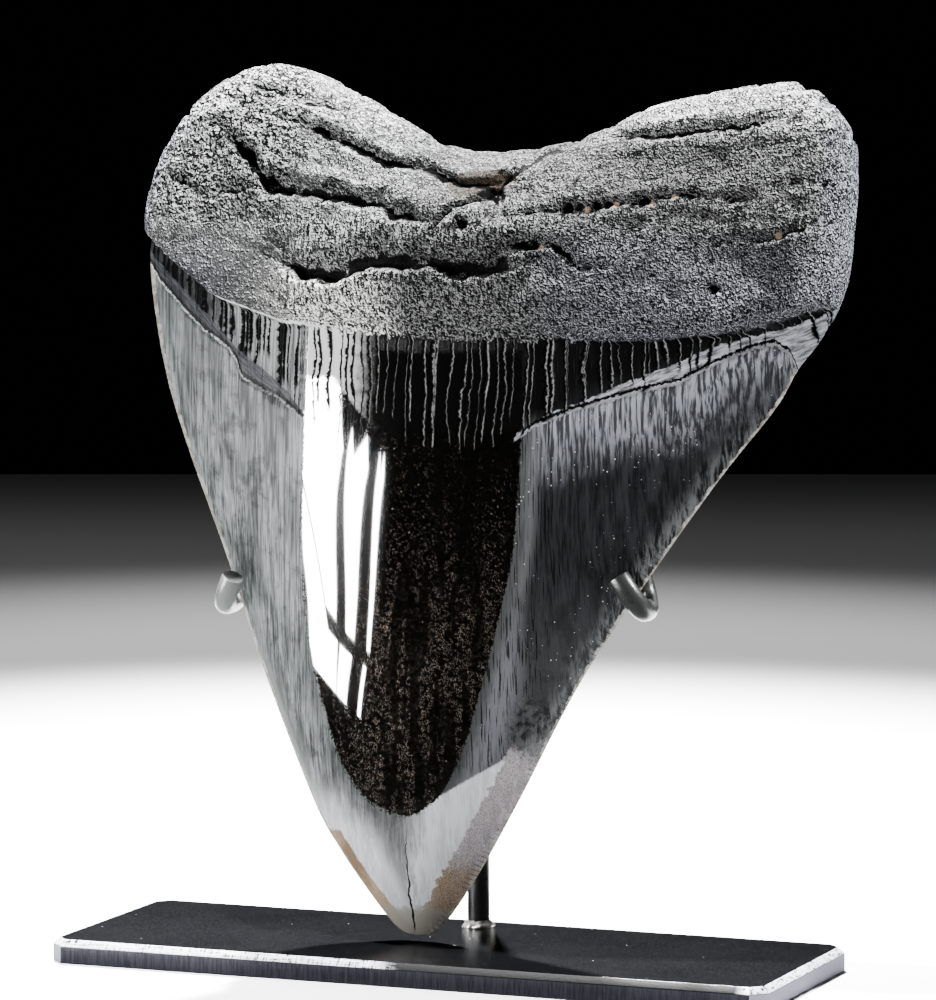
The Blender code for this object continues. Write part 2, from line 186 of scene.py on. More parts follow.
def build_plate_finish():
    material, tree, shader = new_finish("plate_paint")
    where = in_millimetres(tree)
    x, y = node(tree, "ShaderNodeSeparateXYZ", {0: where}).outputs[:2]
    facing = node(tree, "ShaderNodeNewGeometry").outputs["Normal"]
    upward = node(tree, "ShaderNodeSeparateXYZ", {0: facing}).outputs[2]
    slope = product(tree, window(tree, upward, 0.25, 0.5), window(tree, upward, 0.97, 0.85))
    lengthwise = grain(tree, stretched(tree, where, (0.25, 3.0, 3.0)), 1.0, 3.0, 0.6)
    front = window(tree, y, -16.0, -17.5)
    left_part = window(tree, maths(tree, "ADD", x, product(tree, lengthwise, 6.0)), 3.0, -1.0)
    right_end = window(tree, x, 49.5, 51.5)
    ground = maths(tree, "MAXIMUM", product(tree, front, left_part), right_end)
    left_end = window(tree, x, -51.5, -52.8)
    ground = maths(tree, "MAXIMUM", ground, product(tree, left_end, 0.7))
    strokes = grain(tree, stretched(tree, where, (4.5, 0.7, 0.5)), 1.0, 2.0, 0.6)
    worn = maths(tree, "ADD", product(tree, lengthwise, 0.5), product(tree, strokes, 0.5))
    worn = window(tree, worn, 0.40, 0.50)
    bare = product(tree, product(tree, slope, ground), worn)
    dust = use_effect(tree, specks, Where=where, Spacing=0.55, Size=0.16, Share=0.35)
    cloud = grain(tree, where, 0.09, 4.0, 0.6)
    tone = paint(tree, product(tree, cloud, 0.35), PAINT_BLACK, PAINT_DUST)
    tone = paint(tree, product(tree, dust, 0.5), tone, PAINT_DUST)
    orange_peel = grain(tree, where, 4.0, 2.0, 0.6)
    tone = paint(tree, window(tree, orange_peel, 0.50, 0.66), tone, (0.0060, 0.0063, 0.0073))
    grit = use_effect(tree, specks, Where=where, Spacing=1.9, Size=0.09, Share=0.16)
    tone = paint(tree, product(tree, grit, 0.8), tone, (0.30, 0.31, 0.34))
    # The upright sides: fine upright grinding lines, and a painted sheen that makes them lighter than
    # the top; the ends and clipped corners are painted palest, a lavender sheen.
    upright = grain(tree, stretched(tree, where, (4.5, 0.6, 0.30)), 1.0, 2.0, 0.5)
    on_side = window(tree, upward, 0.3, 0.1)
    sides_lines_and_sheen = paint(tree, window(tree, upright, 0.30, 0.70), (0.026, 0.026, 0.033),
                   (0.046, 0.047, 0.060))
    endward = node(tree, "ShaderNodeSeparateXYZ", {0: facing}).outputs[0]
    endward = window(tree, maths(tree, "ABSOLUTE", endward), 0.35, 0.6)
    sides_lines_and_sheen = paint(tree, endward, sides_lines_and_sheen, (0.34, 0.34, 0.42))
    tone = paint(tree, on_side, tone, sides_lines_and_sheen)
    tree.links.new(paint(tree, bare, tone, BARE_STEEL), shader.inputs["Base Color"])
    tree.links.new(product(tree, bare, 0.25), shader.inputs["Metallic"])
    shader.inputs["Specular IOR Level"].default_value = 0.08
    satin = window(tree, grain(tree, where, 1.3, 3.0, 0.6), 0.3, 0.7, 0.08, 0.13)
    satin = maths(tree, "MAXIMUM", satin, product(tree, slope, 0.45))
    tree.links.new(satin, shader.inputs["Roughness"])
    fine = grain(tree, where, 3.5, 3.0, 0.6)
    relief = maths(tree, "ADD", product(tree, upright, on_side), fine)
    bump(tree, shader, relief, 0.00004)
    return material


def add_piece(name, bm, material, slot, *replaced):
    """Makes the finished mesh an object that rides with the stand and stands for its nodes."""
    mesh = bpy.data.meshes.new(name)
    bm.to_mesh(mesh)
    bm.free()
    mesh.materials.append(material)
    mesh.shade_smooth()
    piece = bpy.data.objects.new(name, mesh)
    bpy.context.scene.collection.objects.link(piece)
    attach(piece, "root")
    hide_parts(*replaced)
    return piece


def build_plate():
    bm = bmesh.new()
    bmesh.ops.create_cube(bm, size=1.0)
    bmesh.ops.scale(bm, vec=(PLATE_LENGTH, PLATE_DEPTH, PLATE_THICKNESS), verts=bm.verts)
    bmesh.ops.translate(bm, vec=(0.0, 0.0, PLATE_THICKNESS / 2), verts=bm.verts)
    uprights = [e for e in bm.edges if abs(e.verts[0].co.z - e.verts[1].co.z) > UPRIGHT]
    bmesh.ops.bevel(bm, geom=uprights, offset=PLATE_CORNER_CHAMFER, segments=1,
                    profile=0.5, affect="EDGES", material=-1)
    top = [e for e in bm.edges if min(v.co.z for v in e.verts) > PLATE_THICKNESS - LEVEL]
    bmesh.ops.bevel(bm, geom=top, offset=PLATE_TOP_CHAMFER, segments=1,
                    profile=0.5, affect="EDGES", material=-1)
    bmesh.ops.bevel(bm, geom=bm.edges[:], offset=PLATE_EDGE_ROUND, segments=2,
                    profile=0.5, affect="EDGES", material=-1)
    return bm


plate = add_piece("dressed_base_plate", build_plate(), build_plate_finish(),
                  "painted_steel", "base_plate")
plate.data.set_sharp_from_angle(angle=SHARP_ANGLE)


# ---------------------------------------------------------------- post
# A straight piece of 1/8 inch round steel rod, sprayed the same satin black as the plate.

ROD_RADIUS = 0.0015875
POST_ACROSS = -0.0006
POST_BACK = 0.0138
POST_TOP = 0.0590
POST_FOOT = PLATE_THICKNESS + GAP
ROD_SIDES = 40
ROD_END_ROUND = 0.00015


def build_rod_finish():
    """Satin black; where the rod is bent into hooks, a painted reflection makes their sides greyer,
    the left hook's most.
    """
    material, tree, shader = new_finish("rod_paint")
    where = in_millimetres(tree)
    x = node(tree, "ShaderNodeSeparateXYZ", {0: where}).outputs[0]
    cloud = grain(tree, where, 0.5, 3.0, 0.6)
    tone = paint(tree, product(tree, cloud, 0.3), PAINT_BLACK, PAINT_DUST)
    facing = node(tree, "ShaderNodeNewGeometry").outputs["Normal"]
    upward = node(tree, "ShaderNodeSeparateXYZ", {0: facing}).outputs[2]
    reflecting_side = window(tree, upward, 0.85, 0.65)
    # Painted reflection: the right hook's sides a little greyer, the left hook's much paler.
    tone = paint(tree, product(tree, window(tree, x, 20.0, 24.0), reflecting_side), tone,
                 (0.030, 0.031, 0.031))
    tone = paint(tree, product(tree, window(tree, x, -28.5, -32.0), reflecting_side), tone,
                 (0.200, 0.205, 0.205))
    tree.links.new(tone, shader.inputs["Base Color"])
    tree.links.new(window(tree, cloud, 0.3, 0.7, 0.26, 0.36), shader.inputs["Roughness"])
    bump(tree, shader, grain(tree, where, 3.0, 2.0, 0.5), 0.00003)
    return material


def build_post():
    bm = bmesh.new()
    bmesh.ops.create_cone(bm, cap_ends=True, segments=ROD_SIDES, radius1=ROD_RADIUS,
                          radius2=ROD_RADIUS, depth=POST_TOP - POST_FOOT)
    rims = [e for e in bm.edges if abs(e.verts[0].co.z - e.verts[1].co.z) < ROD_RADIUS]
    bmesh.ops.bevel(bm, geom=rims, offset=ROD_END_ROUND, segments=2, profile=0.5,
                    affect="EDGES", material=-1)
    bmesh.ops.translate(bm, vec=(POST_ACROSS, POST_BACK, (POST_FOOT + POST_TOP) / 2),
                        verts=bm.verts)
    return bm


rod_finish = build_rod_finish()
post = add_piece("dressed_post", build_post(), rod_finish, "painted_steel", "post")
post.data.set_sharp_from_angle(angle=SHARP_ANGLE)


# ---------------------------------------------------------------- welds
# The post is brazed to the plate at its foot and to the cradle rod at its top. The beads are
# lumpy rings of bright metal that the paint only partly covers.

BEAD_HEIGHT = 0.0010
BEAD_REACH = 0.0009
BEAD_LUMPS = 0.00035
BEAD_STEPS = 56
ARC_STEPS = 8
BEAD_HOLLOW = 0.25               # how far the middle of the fillet sinks
BEAD_INSIDE = 0.9                # the fillet is closed inside the rod, at this share of its radius
LUMPS_PER_METRE = 900.0
LUMP_RISE = 0.6
MERGE_DISTANCE = 0.00001
TOP_BEAD_OVER = 0.0004           # how far the top bead runs over the post's end
FOOT_BEAD_SEED = 3.0
TOP_BEAD_SEED = 8.0


def build_bead_finish():
    material, tree, shader = new_finish("braze")
    where = in_millimetres(tree)
    cover = window(tree, grain(tree, where, 0.55, 3.0, 0.6), 0.44, 0.52)
    tree.links.new(paint(tree, cover, (0.70, 0.68, 0.64), PAINT_BLACK),
                   shader.inputs["Base Color"])
    tree.links.new(maths(tree, "SUBTRACT", 1.0, cover), shader.inputs["Metallic"])
    shader.inputs["Roughness"].default_value = 0.28
    bump(tree, shader, grain(tree, where, 2.2, 3.0, 0.6), 0.00012)
    return material


def build_bead(bottom, top, seed):
    """A quarter-round fillet turned once around the post, then pushed into lumps."""
    bm = bmesh.new()
    arc = [(ROD_RADIUS * BEAD_INSIDE, bottom)]
    for i in range(ARC_STEPS + 1):
        angle = math.radians(90.0 * i / ARC_STEPS)
        hollow = 1.0 - BEAD_HOLLOW * math.sin(2.0 * angle)
        arc.append((ROD_RADIUS + BEAD_REACH * math.cos(angle) * hollow,
                    bottom + (top - bottom) * math.sin(angle) * hollow))
    arc.append((ROD_RADIUS * BEAD_INSIDE, top))
    verts = [bm.verts.new((out, 0.0, up)) for out, up in arc]
    edges = [bm.edges.new(pair) for pair in zip(verts, verts[1:] + verts[:1])]
    bmesh.ops.spin(bm, geom=verts + edges, axis=(0.0, 0.0, 1.0), cent=(0.0, 0.0, 0.0),
                   angle=2.0 * math.pi, steps=BEAD_STEPS, use_merge=True)
    bmesh.ops.remove_doubles(bm, verts=bm.verts, dist=MERGE_DISTANCE)
    bmesh.ops.recalc_face_normals(bm, faces=bm.faces)
    for vert in bm.verts:
        out = math.hypot(vert.co.x, vert.co.y)
        if out > ROD_RADIUS:
            share = (out - ROD_RADIUS) / BEAD_REACH
            lump = noise.noise(vert.co * LUMPS_PER_METRE + Vector((seed, 0.0, 0.0)))
            grow = 1.0 + share * lump * BEAD_LUMPS / ROD_RADIUS
            vert.co.x *= grow
            vert.co.y *= grow
            if bottom < vert.co.z < top:
                vert.co.z += share * lump * BEAD_LUMPS * LUMP_RISE
    bmesh.ops.translate(bm, vec=(POST_ACROSS, POST_BACK, 0.0), verts=bm.verts)
    return bm


bead_finish = build_bead_finish()
foot_bead = build_bead(PLATE_THICKNESS, PLATE_THICKNESS + BEAD_HEIGHT, FOOT_BEAD_SEED)
top_bead = build_bead(POST_TOP - BEAD_HEIGHT, POST_TOP + TOP_BEAD_OVER, TOP_BEAD_SEED)
add_piece("dressed_foot_weld", foot_bead, bead_finish, "bare_braze", "foot_weld")
add_piece("dressed_top_weld", top_bead, bead_finish, "bare_braze", "top_weld")


# ---------------------------------------------------------------- cradle rod
# One length of the same rod, bent cold in a jig: a hook comes round each cutting edge of the
# tooth, and the run between them crosses behind it over the post.

CRADLE_BEND_RADIUS = 0.0038
LEFT_HOOK = (
    (-0.0328, -0.0007, 0.0545), (-0.0351, 0.0006, 0.0502), (-0.0363, 0.0092, 0.0500),
    (-0.0330, 0.0100, 0.0605),
)
RIGHT_HOOK = (
    (0.0256, 0.0004, 0.0566), (0.0289, 0.0006, 0.0519), (0.0273, 0.0092, 0.0512),
    (0.0240, 0.0098, 0.0612),
)
CRADLE_MIDDLE = (POST_ACROSS, POST_BACK, POST_TOP + GAP + ROD_RADIUS)


def rounded_path(corners, radius, steps=12):
    """Points along straight runs whose corners are turned by arcs of one radius."""
    points = [corners[0]]
    for before, corner, after in zip(corners, corners[1:], corners[2:]):
        back = (before - corner).normalized()
        on = (after - corner).normalized()
        half = back.angle(on) / 2
        reach = radius / math.tan(half)
        centre = corner + (back + on).normalized() * (radius / math.sin(half))
        start = corner + back * reach - centre
        end = corner + on * reach - centre
        for i in range(steps + 1):
            points.append(centre + start.slerp(end, i / steps).normalized() * radius)
    points.append(corners[-1])
    return points


def edges_among(verts):
    """The edges between these points, always in the same order."""
    return list(dict.fromkeys(e for v in verts for e in v.link_edges if e.other_vert(v) in verts))


def build_swept_rod(points, radius):
    """A ring of the rod's section, drawn from point to point and closed at both cut ends."""
    bm = bmesh.new()
    made = bmesh.ops.create_circle(bm, cap_ends=False, segments=ROD_SIDES, radius=radius)
    ring = made["verts"]
    first_ring = list(ring)
    turn = (points[1] - points[0]).to_track_quat("Z", "Y")
    placed = Matrix.Translation(points[0]) @ turn.to_matrix().to_4x4()
    bmesh.ops.transform(bm, matrix=placed, verts=ring)
    direction = (points[1] - points[0]).normalized()
    for i in range(1, len(points)):
        ahead = points[min(i + 1, len(points) - 1)] - points[i - 1]
        swing = direction.rotation_difference(ahead.normalized())
        direction = ahead.normalized()
        grown = bmesh.ops.extrude_edge_only(bm, edges=edges_among(ring))
        ring = [g for g in grown["geom"] if isinstance(g, bmesh.types.BMVert)]
        step = (Matrix.Translation(points[i]) @ swing.to_matrix().to_4x4()
                @ Matrix.Translation(-points[i - 1]))
        bmesh.ops.transform(bm, matrix=step, verts=ring)
    for loop in (first_ring, ring):
        edges = edges_among(loop)
        bmesh.ops.edgeloop_fill(bm, edges=edges)
        bmesh.ops.bevel(bm, geom=edges, offset=ROD_END_ROUND, segments=2, profile=0.5,
                        affect="EDGES", material=-1)
    bmesh.ops.recalc_face_normals(bm, faces=bm.faces)
    return bm


cradle_corners = [Vector(c) for c in (*LEFT_HOOK, CRADLE_MIDDLE, *reversed(RIGHT_HOOK))]
cradle_path = rounded_path(cradle_corners, CRADLE_BEND_RADIUS)
cradle = add_piece("dressed_cradle_rod", build_swept_rod(cradle_path, ROD_RADIUS), rod_finish,
                   "painted_steel", "cradle_rod")
cradle.data.set_sharp_from_angle(angle=SHARP_ANGLE)


# ---------------------------------------------------------------- tooth
# One fossil tooth: a porous two-lobed root over a crown of dense enamel. The convex face has
# lost its enamel down the middle, where the dark core shows, worn and polished to a mirror.
# It lies back in the cradle's hooks with its tip just clear of the plate.

TOOTH_TIP = (-0.0041, -0.0010, 0.0042)
TOOTH_LEAN = math.radians(-7.0)
TOOTH_HEIGHT = 0.1244
TIP_DEPTH = 0.0092
TIP_RISE = 0.015
CROWN_SLOPE = 0.025
CROWN_BACK_DEPTH = 0.0032
CROWN_BACK_RISE = 0.030
LOBE_DEPTH = 0.0105
LOBE_BACK_DEPTH = 0.0068
LOBE_TAPER = 0.0022
TAPER_FROM = 0.098
ROOT_BULGE = 0.0075
BULGE_PLACE = (0.003, 0.094)
BULGE_REACH = (0.026, 0.016)
ROOT_RADII = (0.011, 0.014)      # rounding of the root at its sides and its top
ROOT_BACK_RADII = (0.010, 0.011)
ENAMEL_STEP = 0.0005
LEVEL_WITHIN = 0.017
STEP_BEYOND = 0.021
LIP_RUN = 0.0012
MIDDLE_RUN = 0.0050
MIDDLE_PLACE = 0.002
MIDDLE_REACH = 0.020
LUMP_HEIGHT = 0.0006
BORDER_ROW = 0.795
BORDER_SPREAD = 0.16
NOTCH_FROM = 0.30
STRAIGHT_TOP = 0.12
STRAIGHT_SIDES = 0.125
COLUMN_CROWDING = 0.35
ROW_CROWDING = 0.40
TOOTH_COLUMNS = 90
TOOTH_ROWS = 80
FINE_ROWS_FROM = 0.64
CHIP_DEPTH = 0.0008
SERRATION_PITCH = 0.00075
SERRATION_DEPTH = 0.00010
SERRATED_FROM, SERRATED_TO = 0.006, 0.088

LEFT_SIDE_POINTS = (
    (0.0, 0.0), (-0.0031, 0.0010), (-0.0071, 0.0050), (-0.0125, 0.0115), (-0.0170, 0.0183),
    (-0.0251, 0.0352), (-0.0322, 0.0523), (-0.0396, 0.0689), (-0.0437, 0.0800),
    (-0.0465, 0.0930), (-0.0468, 0.1030), (-0.0450, 0.1100), (-0.0412, 0.1170),
    (-0.0358, 0.1224),
)
RIGHT_SIDE_POINTS = (
    (0.0, 0.0), (0.0034, 0.0012), (0.0087, 0.0089), (0.0146, 0.0200), (0.0232, 0.0374),
    (0.0324, 0.0519), (0.0423, 0.0663), (0.0502, 0.0766), (0.0532, 0.0820), (0.0568, 0.0870),
    (0.0597, 0.0940), (0.0604, 0.1020), (0.0606, 0.1090), (0.0600, 0.1145), (0.0570, 0.1190),
)
TOP_EDGE_POINTS = (
    (-0.0358, 0.1224), (-0.0285, TOOTH_HEIGHT), (-0.0214, 0.1231),
    (-0.0139, 0.1199), (-0.0071, 0.1162), (0.0, 0.1128), (0.0080, 0.1121), (0.0170, 0.1133),
    (0.0240, 0.1156), (0.0300, 0.1186), (0.0384, 0.1206), (0.0480, 0.1222), (0.0530, 0.1218),
    (0.0570, 0.1190),
)
ROOT_BORDER = (
    (-0.0470, 0.1000), (-0.0428, 0.0972), (-0.0320, 0.0897), (-0.0213, 0.0864), (0.0, 0.0843),
    (0.0200, 0.0847), (0.0349, 0.0851), (0.0472, 0.0869), (0.0578, 0.0907),
)
BACK_ROOT_BORDER = (
    (-0.0470, 0.0990), (-0.0300, 0.0905), (0.0, 0.0850), (0.0300, 0.0880), (0.0560, 0.0860),
)
WING_TOPS = (
    (-0.0480, 0.0965), (-0.0466, 0.0949), (-0.0446, 0.0925), (-0.0398, 0.0884),
    (-0.0358, 0.0853), (-0.0314, 0.0830), (-0.0297, 0.0812), (-0.0286, 0.0787),
    (-0.0253, 0.0771), (-0.0212, 0.0753), (-0.0170, 0.0725), (-0.0100, 0.0700),
    (0.0100, 0.0690), (0.0154, 0.0705), (0.0184, 0.0728), (0.0237, 0.0751),
    (0.0306, 0.0774), (0.0381, 0.0795), (0.0423, 0.0820), (0.0479, 0.0847),
    (0.0504, 0.0854), (0.0523, 0.0842), (0.0531, 0.0820), (0.0540, 0.0790),
)
SLATE_TOPS = (
    (-0.0480, 0.0985), (-0.0465, 0.0966), (-0.0444, 0.0948), (-0.0420, 0.0929),
    (-0.0362, 0.0884), (-0.0324, 0.0851), (-0.0289, 0.0823), (-0.0232, 0.0788),
    (-0.0199, 0.0761), (-0.0172, 0.0735), (-0.0160, 0.0600),
    (0.0140, 0.0600), (0.0154, 0.0715), (0.0196, 0.0742), (0.0258, 0.0769),
    (0.0307, 0.0791), (0.0368, 0.0819), (0.0435, 0.0850), (0.0524, 0.0878),
    (0.0576, 0.0902), (0.0620, 0.0920),
)
CRACK_ENDS = (
    (-0.0324, 0.0850), (-0.0240, 0.0792), (-0.0178, 0.0735), (-0.0130, 0.0747), (-0.0076, 0.0722),
    (0.0064, 0.0710), (0.0166, 0.0720), (0.0275, 0.0774), (0.0420, 0.0833), (0.0504, 0.0870),
)
TONGUE_EDGE = (
    (-0.0171, 0.0840), (-0.0171, 0.0720), (-0.0171, 0.0530), (-0.0157, 0.0410),
    (-0.0135, 0.0330), (-0.0103, 0.0245), (-0.0054, 0.0190), (0.0005, 0.0172),
    (0.0045, 0.0196), (0.0067, 0.0230), (0.0087, 0.0280), (0.0104, 0.0340), (0.0120, 0.0400),
    (0.0132, 0.0450), (0.0146, 0.0510), (0.0155, 0.0570), (0.0161, 0.0650), (0.0164, 0.0720),
    (0.0164, 0.0840),
)

# The root's furrows on the convex face: the lower lip's line, the depth, the half width, and
# how far the fold above it stands out over it.
FURROWS = (
    (((-0.0321, 0.1135), (-0.0297, 0.1111), (-0.0274, 0.1084), (-0.0237, 0.1046),
      (-0.0204, 0.1044), (-0.0153, 0.1041), (-0.0098, 0.1029), (-0.0050, 0.1026),
      (-0.0029, 0.1010), (0.0036, 0.1004)), 0.0024, 0.0010, 0.0008),
    (((-0.0262, 0.1072), (-0.0237, 0.1050), (-0.0208, 0.1048)), 0.0020, 0.0017, 0.0004),
    (((-0.0221, 0.1154), (-0.0172, 0.1134), (-0.0115, 0.1111), (-0.0062, 0.1087),
      (-0.0006, 0.1083), (0.0030, 0.1065), (0.0074, 0.1055), (0.0118, 0.1065)),
     0.0019, 0.0007, 0.0008),
    (((-0.0310, 0.1205), (-0.0251, 0.1194), (-0.0222, 0.1180), (-0.0184, 0.1175),
      (-0.0128, 0.1169)), 0.0010, 0.0005, 0.0004),
    (((-0.0404, 0.1071), (-0.0375, 0.1058), (-0.0330, 0.1037)), 0.0011, 0.0005, 0.0003),
    (((-0.0318, 0.1047), (-0.0280, 0.1045), (-0.0261, 0.1052), (-0.0236, 0.1038)),
     0.0012, 0.0006, 0.0003),
    (((-0.0211, 0.0948), (-0.0163, 0.0923), (-0.0112, 0.0919), (-0.0052, 0.0939),
      (0.0041, 0.0940), (0.0092, 0.0926), (0.0139, 0.0937), (0.0171, 0.0947)),
     0.0026, 0.0018, 0.0003),
    (((0.0135, 0.0975), (0.0181, 0.0972), (0.0210, 0.0975), (0.0248, 0.0945),
      (0.0287, 0.0946)), 0.0012, 0.0006, 0.0003),
    (((0.0138, 0.1015), (0.0197, 0.1023), (0.0251, 0.1025), (0.0288, 0.1036),
      (0.0324, 0.1038), (0.0376, 0.1049), (0.0423, 0.1050), (0.0500, 0.1044)),
     0.0010, 0.0004, 0.0001),
    (((0.0237, 0.1139), (0.0288, 0.1135), (0.0329, 0.1132), (0.0394, 0.1142),
      (0.0456, 0.1147), (0.0510, 0.1160)), 0.0015, 0.0007, 0.0007),
    (((0.0141, 0.1023), (0.0129, 0.1057), (0.0135, 0.1072), (0.0148, 0.1088),
      (0.0166, 0.1104), (0.0204, 0.1119)), 0.0024, 0.0011, 0.0004),
    (((0.0450, 0.0984), (0.0483, 0.0993), (0.0517, 0.0988), (0.0543, 0.1000),
      (0.0586, 0.1033)), 0.0008, 0.0005, 0.0003),
    (((0.0378, 0.1023), (0.0428, 0.1021), (0.0461, 0.1008)), 0.0004, 0.0004, 0.0001),
    (((-0.0235, 0.0978), (-0.0193, 0.0967)), 0.0006, 0.0005, 0.0001),
    (((0.0052, 0.0962), (0.0045, 0.0996), (0.0074, 0.1026), (0.0113, 0.1040),
      (0.0138, 0.1017)), 0.0014, 0.0005, 0.0002),
    (((0.0094, 0.1006), (0.0124, 0.1014), (0.0145, 0.1006)), 0.0007, 0.0004, 0.0002),
)
PITS = (
    ((0.0087, 0.1003), 0.0018, 0.0009),
    ((0.0102, 0.1052), 0.0014, 0.0014),
    ((-0.0240, 0.1064), 0.0015, 0.0013),
    ((0.0440, 0.0925), 0.0014, 0.0007),
    ((0.0224, 0.1031), 0.0014, 0.0009),
    ((0.0238, 0.1031), 0.0014, 0.0009),
    ((0.0264, 0.1036), 0.0013, 0.0008),
    ((0.0279, 0.1038), 0.0013, 0.0008),
    ((0.0330, 0.1042), 0.0011, 0.0008),
    ((0.0186, 0.0978), 0.0014, 0.0010),
    ((0.0170, 0.0977), 0.0014, 0.0010),
)
KNOB = ((0.0095, 0.1000), 0.0014, 0.0042)
FURROW_SLOPE = 0.0005
SHOULDER = 0.00045
SAND_GRAINS = ((0.0251, 0.1031), (0.0292, 0.1038), (0.0343, 0.1040), (0.0376, 0.1050),
               (0.0528, 0.1000), (0.0196, 0.0974))
SAND_GRAIN_REACH = 0.00055
NOTCH_HOLLOW = (9.0, 0.0, 106.5)    # millimetres on the tooth, as the finish reads them
DULL_PATCH = (17.2, 0.0, 30.0)
SLOPE_OF_FOLDS = 0.25


def smooth_step(low, high, value):
    t = np.clip((value - low) / (high - low), 0.0, 1.0)
    return t * t * (3.0 - 2.0 * t)


def quarter_round(distance, radius):
    """Height, from 0 to 1, of a rounded rim at a distance in from its edge."""
    t = 1.0 - np.clip(distance / radius, 0.0, 1.0)
    return np.sqrt(1.0 - t * t)


def bell(value, centre, width):
    return np.exp(-((value - centre) / width) ** 2)


def distance_to_line(x, z, line):
    """Distance from each place to the nearest point of a line, and + above it or - below."""
    nearest = np.full(len(x), np.inf)
    side = np.ones(len(x))
    for (ax, az), (bx, bz) in zip(line, line[1:]):
        run, rise = bx - ax, bz - az
        share = ((x - ax) * run + (z - az) * rise) / (run * run + rise * rise)
        share = np.clip(share, 0.0, 1.0)
        away = np.hypot(x - ax - share * run, z - az - share * rise)
        closer = away < nearest
        nearest[closer] = away[closer]
        cross = run * (z - az) - rise * (x - ax)
        side[closer] = np.where(cross >= 0.0, 1.0, -1.0)[closer]
    return nearest, side


def height_on_line(x, line):
    line = np.array(line)
    return np.interp(x, line[:, 0], line[:, 1])


class Outline:
    """A smooth line through a few points, read by its share of the length."""

    def __init__(self, points, steps=24):
        p = np.array(points)
        p = np.vstack((2 * p[0] - p[1], p, 2 * p[-1] - p[-2]))
        t = np.linspace(0.0, 1.0, steps, endpoint=False)[:, None]
        spans = []
        for a, b, c, d in zip(p, p[1:], p[2:], p[3:]):
            bend = (2 * a - 5 * b + 4 * c - d) * t ** 2 + (3 * b - a - 3 * c + d) * t ** 3
            spans.append(0.5 * (2 * b + (c - a) * t + bend))
        self.line = np.vstack((*spans, p[-2]))
        steps_long = np.linalg.norm(np.diff(self.line, axis=0), axis=1)
        self.length = steps_long.sum()
        self.marks = np.concatenate(([0.0], np.cumsum(steps_long))) / self.length

    def at(self, share):
        return np.stack((np.interp(share, self.marks, self.line[:, 0]),
                         np.interp(share, self.marks, self.line[:, 1])), axis=-1)


LEFT_SIDE = Outline(LEFT_SIDE_POINTS)
RIGHT_SIDE = Outline(RIGHT_SIDE_POINTS)
TOP_EDGE = Outline(TOP_EDGE_POINTS)
TONGUE = Outline(TONGUE_EDGE)


def between(a, b, share):
    return a + (b - a) * share[:, None]


def outline_places(across, up):
    """Places on the flat outline, from shares across the tooth and up from its tip."""
    ends = TOP_EDGE.at(np.zeros_like(across)), TOP_EDGE.at(np.ones_like(across))
    notch = TOP_EDGE.at(across) - between(*ends, across)

    def unbent(share):
        straight = between(LEFT_SIDE.at(share), RIGHT_SIDE.at(share), across)
        return straight + smooth_step(NOTCH_FROM, 1.0, share)[:, None] * notch

    border = unbent(np.full_like(up, BORDER_ROW))
    drop = height_on_line(border[:, 0], ROOT_BORDER) - border[:, 1]
    drop *= bell(up, BORDER_ROW, BORDER_SPREAD) * smooth_step(0.0, STRAIGHT_TOP, 1.0 - up)
    drop *= np.clip(np.minimum(across, 1.0 - across) / STRAIGHT_SIDES, 0.0, 1.0)
    places = unbent(up)
    return places[:, 0], places[:, 1] + drop


def width_at(up):
    return np.linalg.norm(RIGHT_SIDE.at(up) - LEFT_SIDE.at(up), axis=1)


def rim(across, up, side_radius, top_radius):
    from_side = np.minimum(across, 1.0 - across) * width_at(up)
    from_top = (1.0 - up) * TOOTH_HEIGHT
    return quarter_round(from_side, side_radius) * quarter_round(from_top, top_radius)


def rough(x, z, scale_x, scale_z, seed, octaves=1):
    """Smooth noise over the face, each octave about twice as fine and half as high."""
    total = np.zeros(len(x))
    for octave in range(octaves):
        size = 2.3 ** octave
        places = zip((x * scale_x * size).tolist(), (z * scale_z * size).tolist())
        total += [noise.noise((px, pz, seed * size)) * 0.5 ** octave for px, pz in places]
    return total


def carved(x, z):
    """Height that the furrows, pits and the knob take from or add to the root, and how far each place
    is painted black as shade.

    A furrow slopes in under the fold above it and ends at the steep wall of its lower lip.
    """
    height = np.zeros(len(x))
    dark = np.zeros(len(x))
    wander = 0.00045 * rough(x, z, 600.0, 600.0, 5.0, 3)
    swell = 1.0 + 0.7 * rough(x, z, 260.0, 260.0, 29.0, 2)
    broken = np.clip(0.95 + 1.1 * rough(x, z, 340.0, 340.0, 41.0, 2), 0.25, 1.0)
    for line, depth, half, lip in FURROWS:
        away, side = distance_to_line(x, z, line)
        above = side * away + np.where(away < 5.0 * half, wander, 0.0)
        ends = np.ones(len(x))
        for end_x, end_z in (line[0], line[-1]):
            ends *= 0.35 + 0.65 * smooth_step(0.0, 0.004, np.hypot(x - end_x, z - end_z))
        wide = 0.8 * half * swell * ends
        wall = smooth_step(-0.25 * half, 0.35 * half, above)
        far = 2.8 * wide + FURROW_SLOPE
        height -= depth * ends * wall * (1.0 - smooth_step(0.5 * wide, far, above))
        height += lip * bell(above, 3.2 * half + 0.5 * FURROW_SLOPE, 1.5 * half)
        height += 0.00022 * bell(above, -0.5 * half, 0.5 * half)
        height += SHOULDER * ends * min(1.0, depth / 0.0015) * bell(above, -0.0012, 0.0011)
        shade = wall * (1.0 - smooth_step(0.8 * wide, 1.7 * wide, above)) * broken
        dark = np.maximum(dark, shade * ends * min(1.0, 0.25 + depth / 0.0014))
    for (px, pz), depth, half in PITS:
        away = np.hypot(x - px, z - pz) + wander
        height -= depth * bell(away, 0.0, half)
        dark = np.maximum(dark, bell(away, 0.0, 0.8 * half))
    (px, pz), knob_height, half = KNOB
    return height + knob_height * bell(np.hypot(x - px, z - pz), 0.0, half), dark


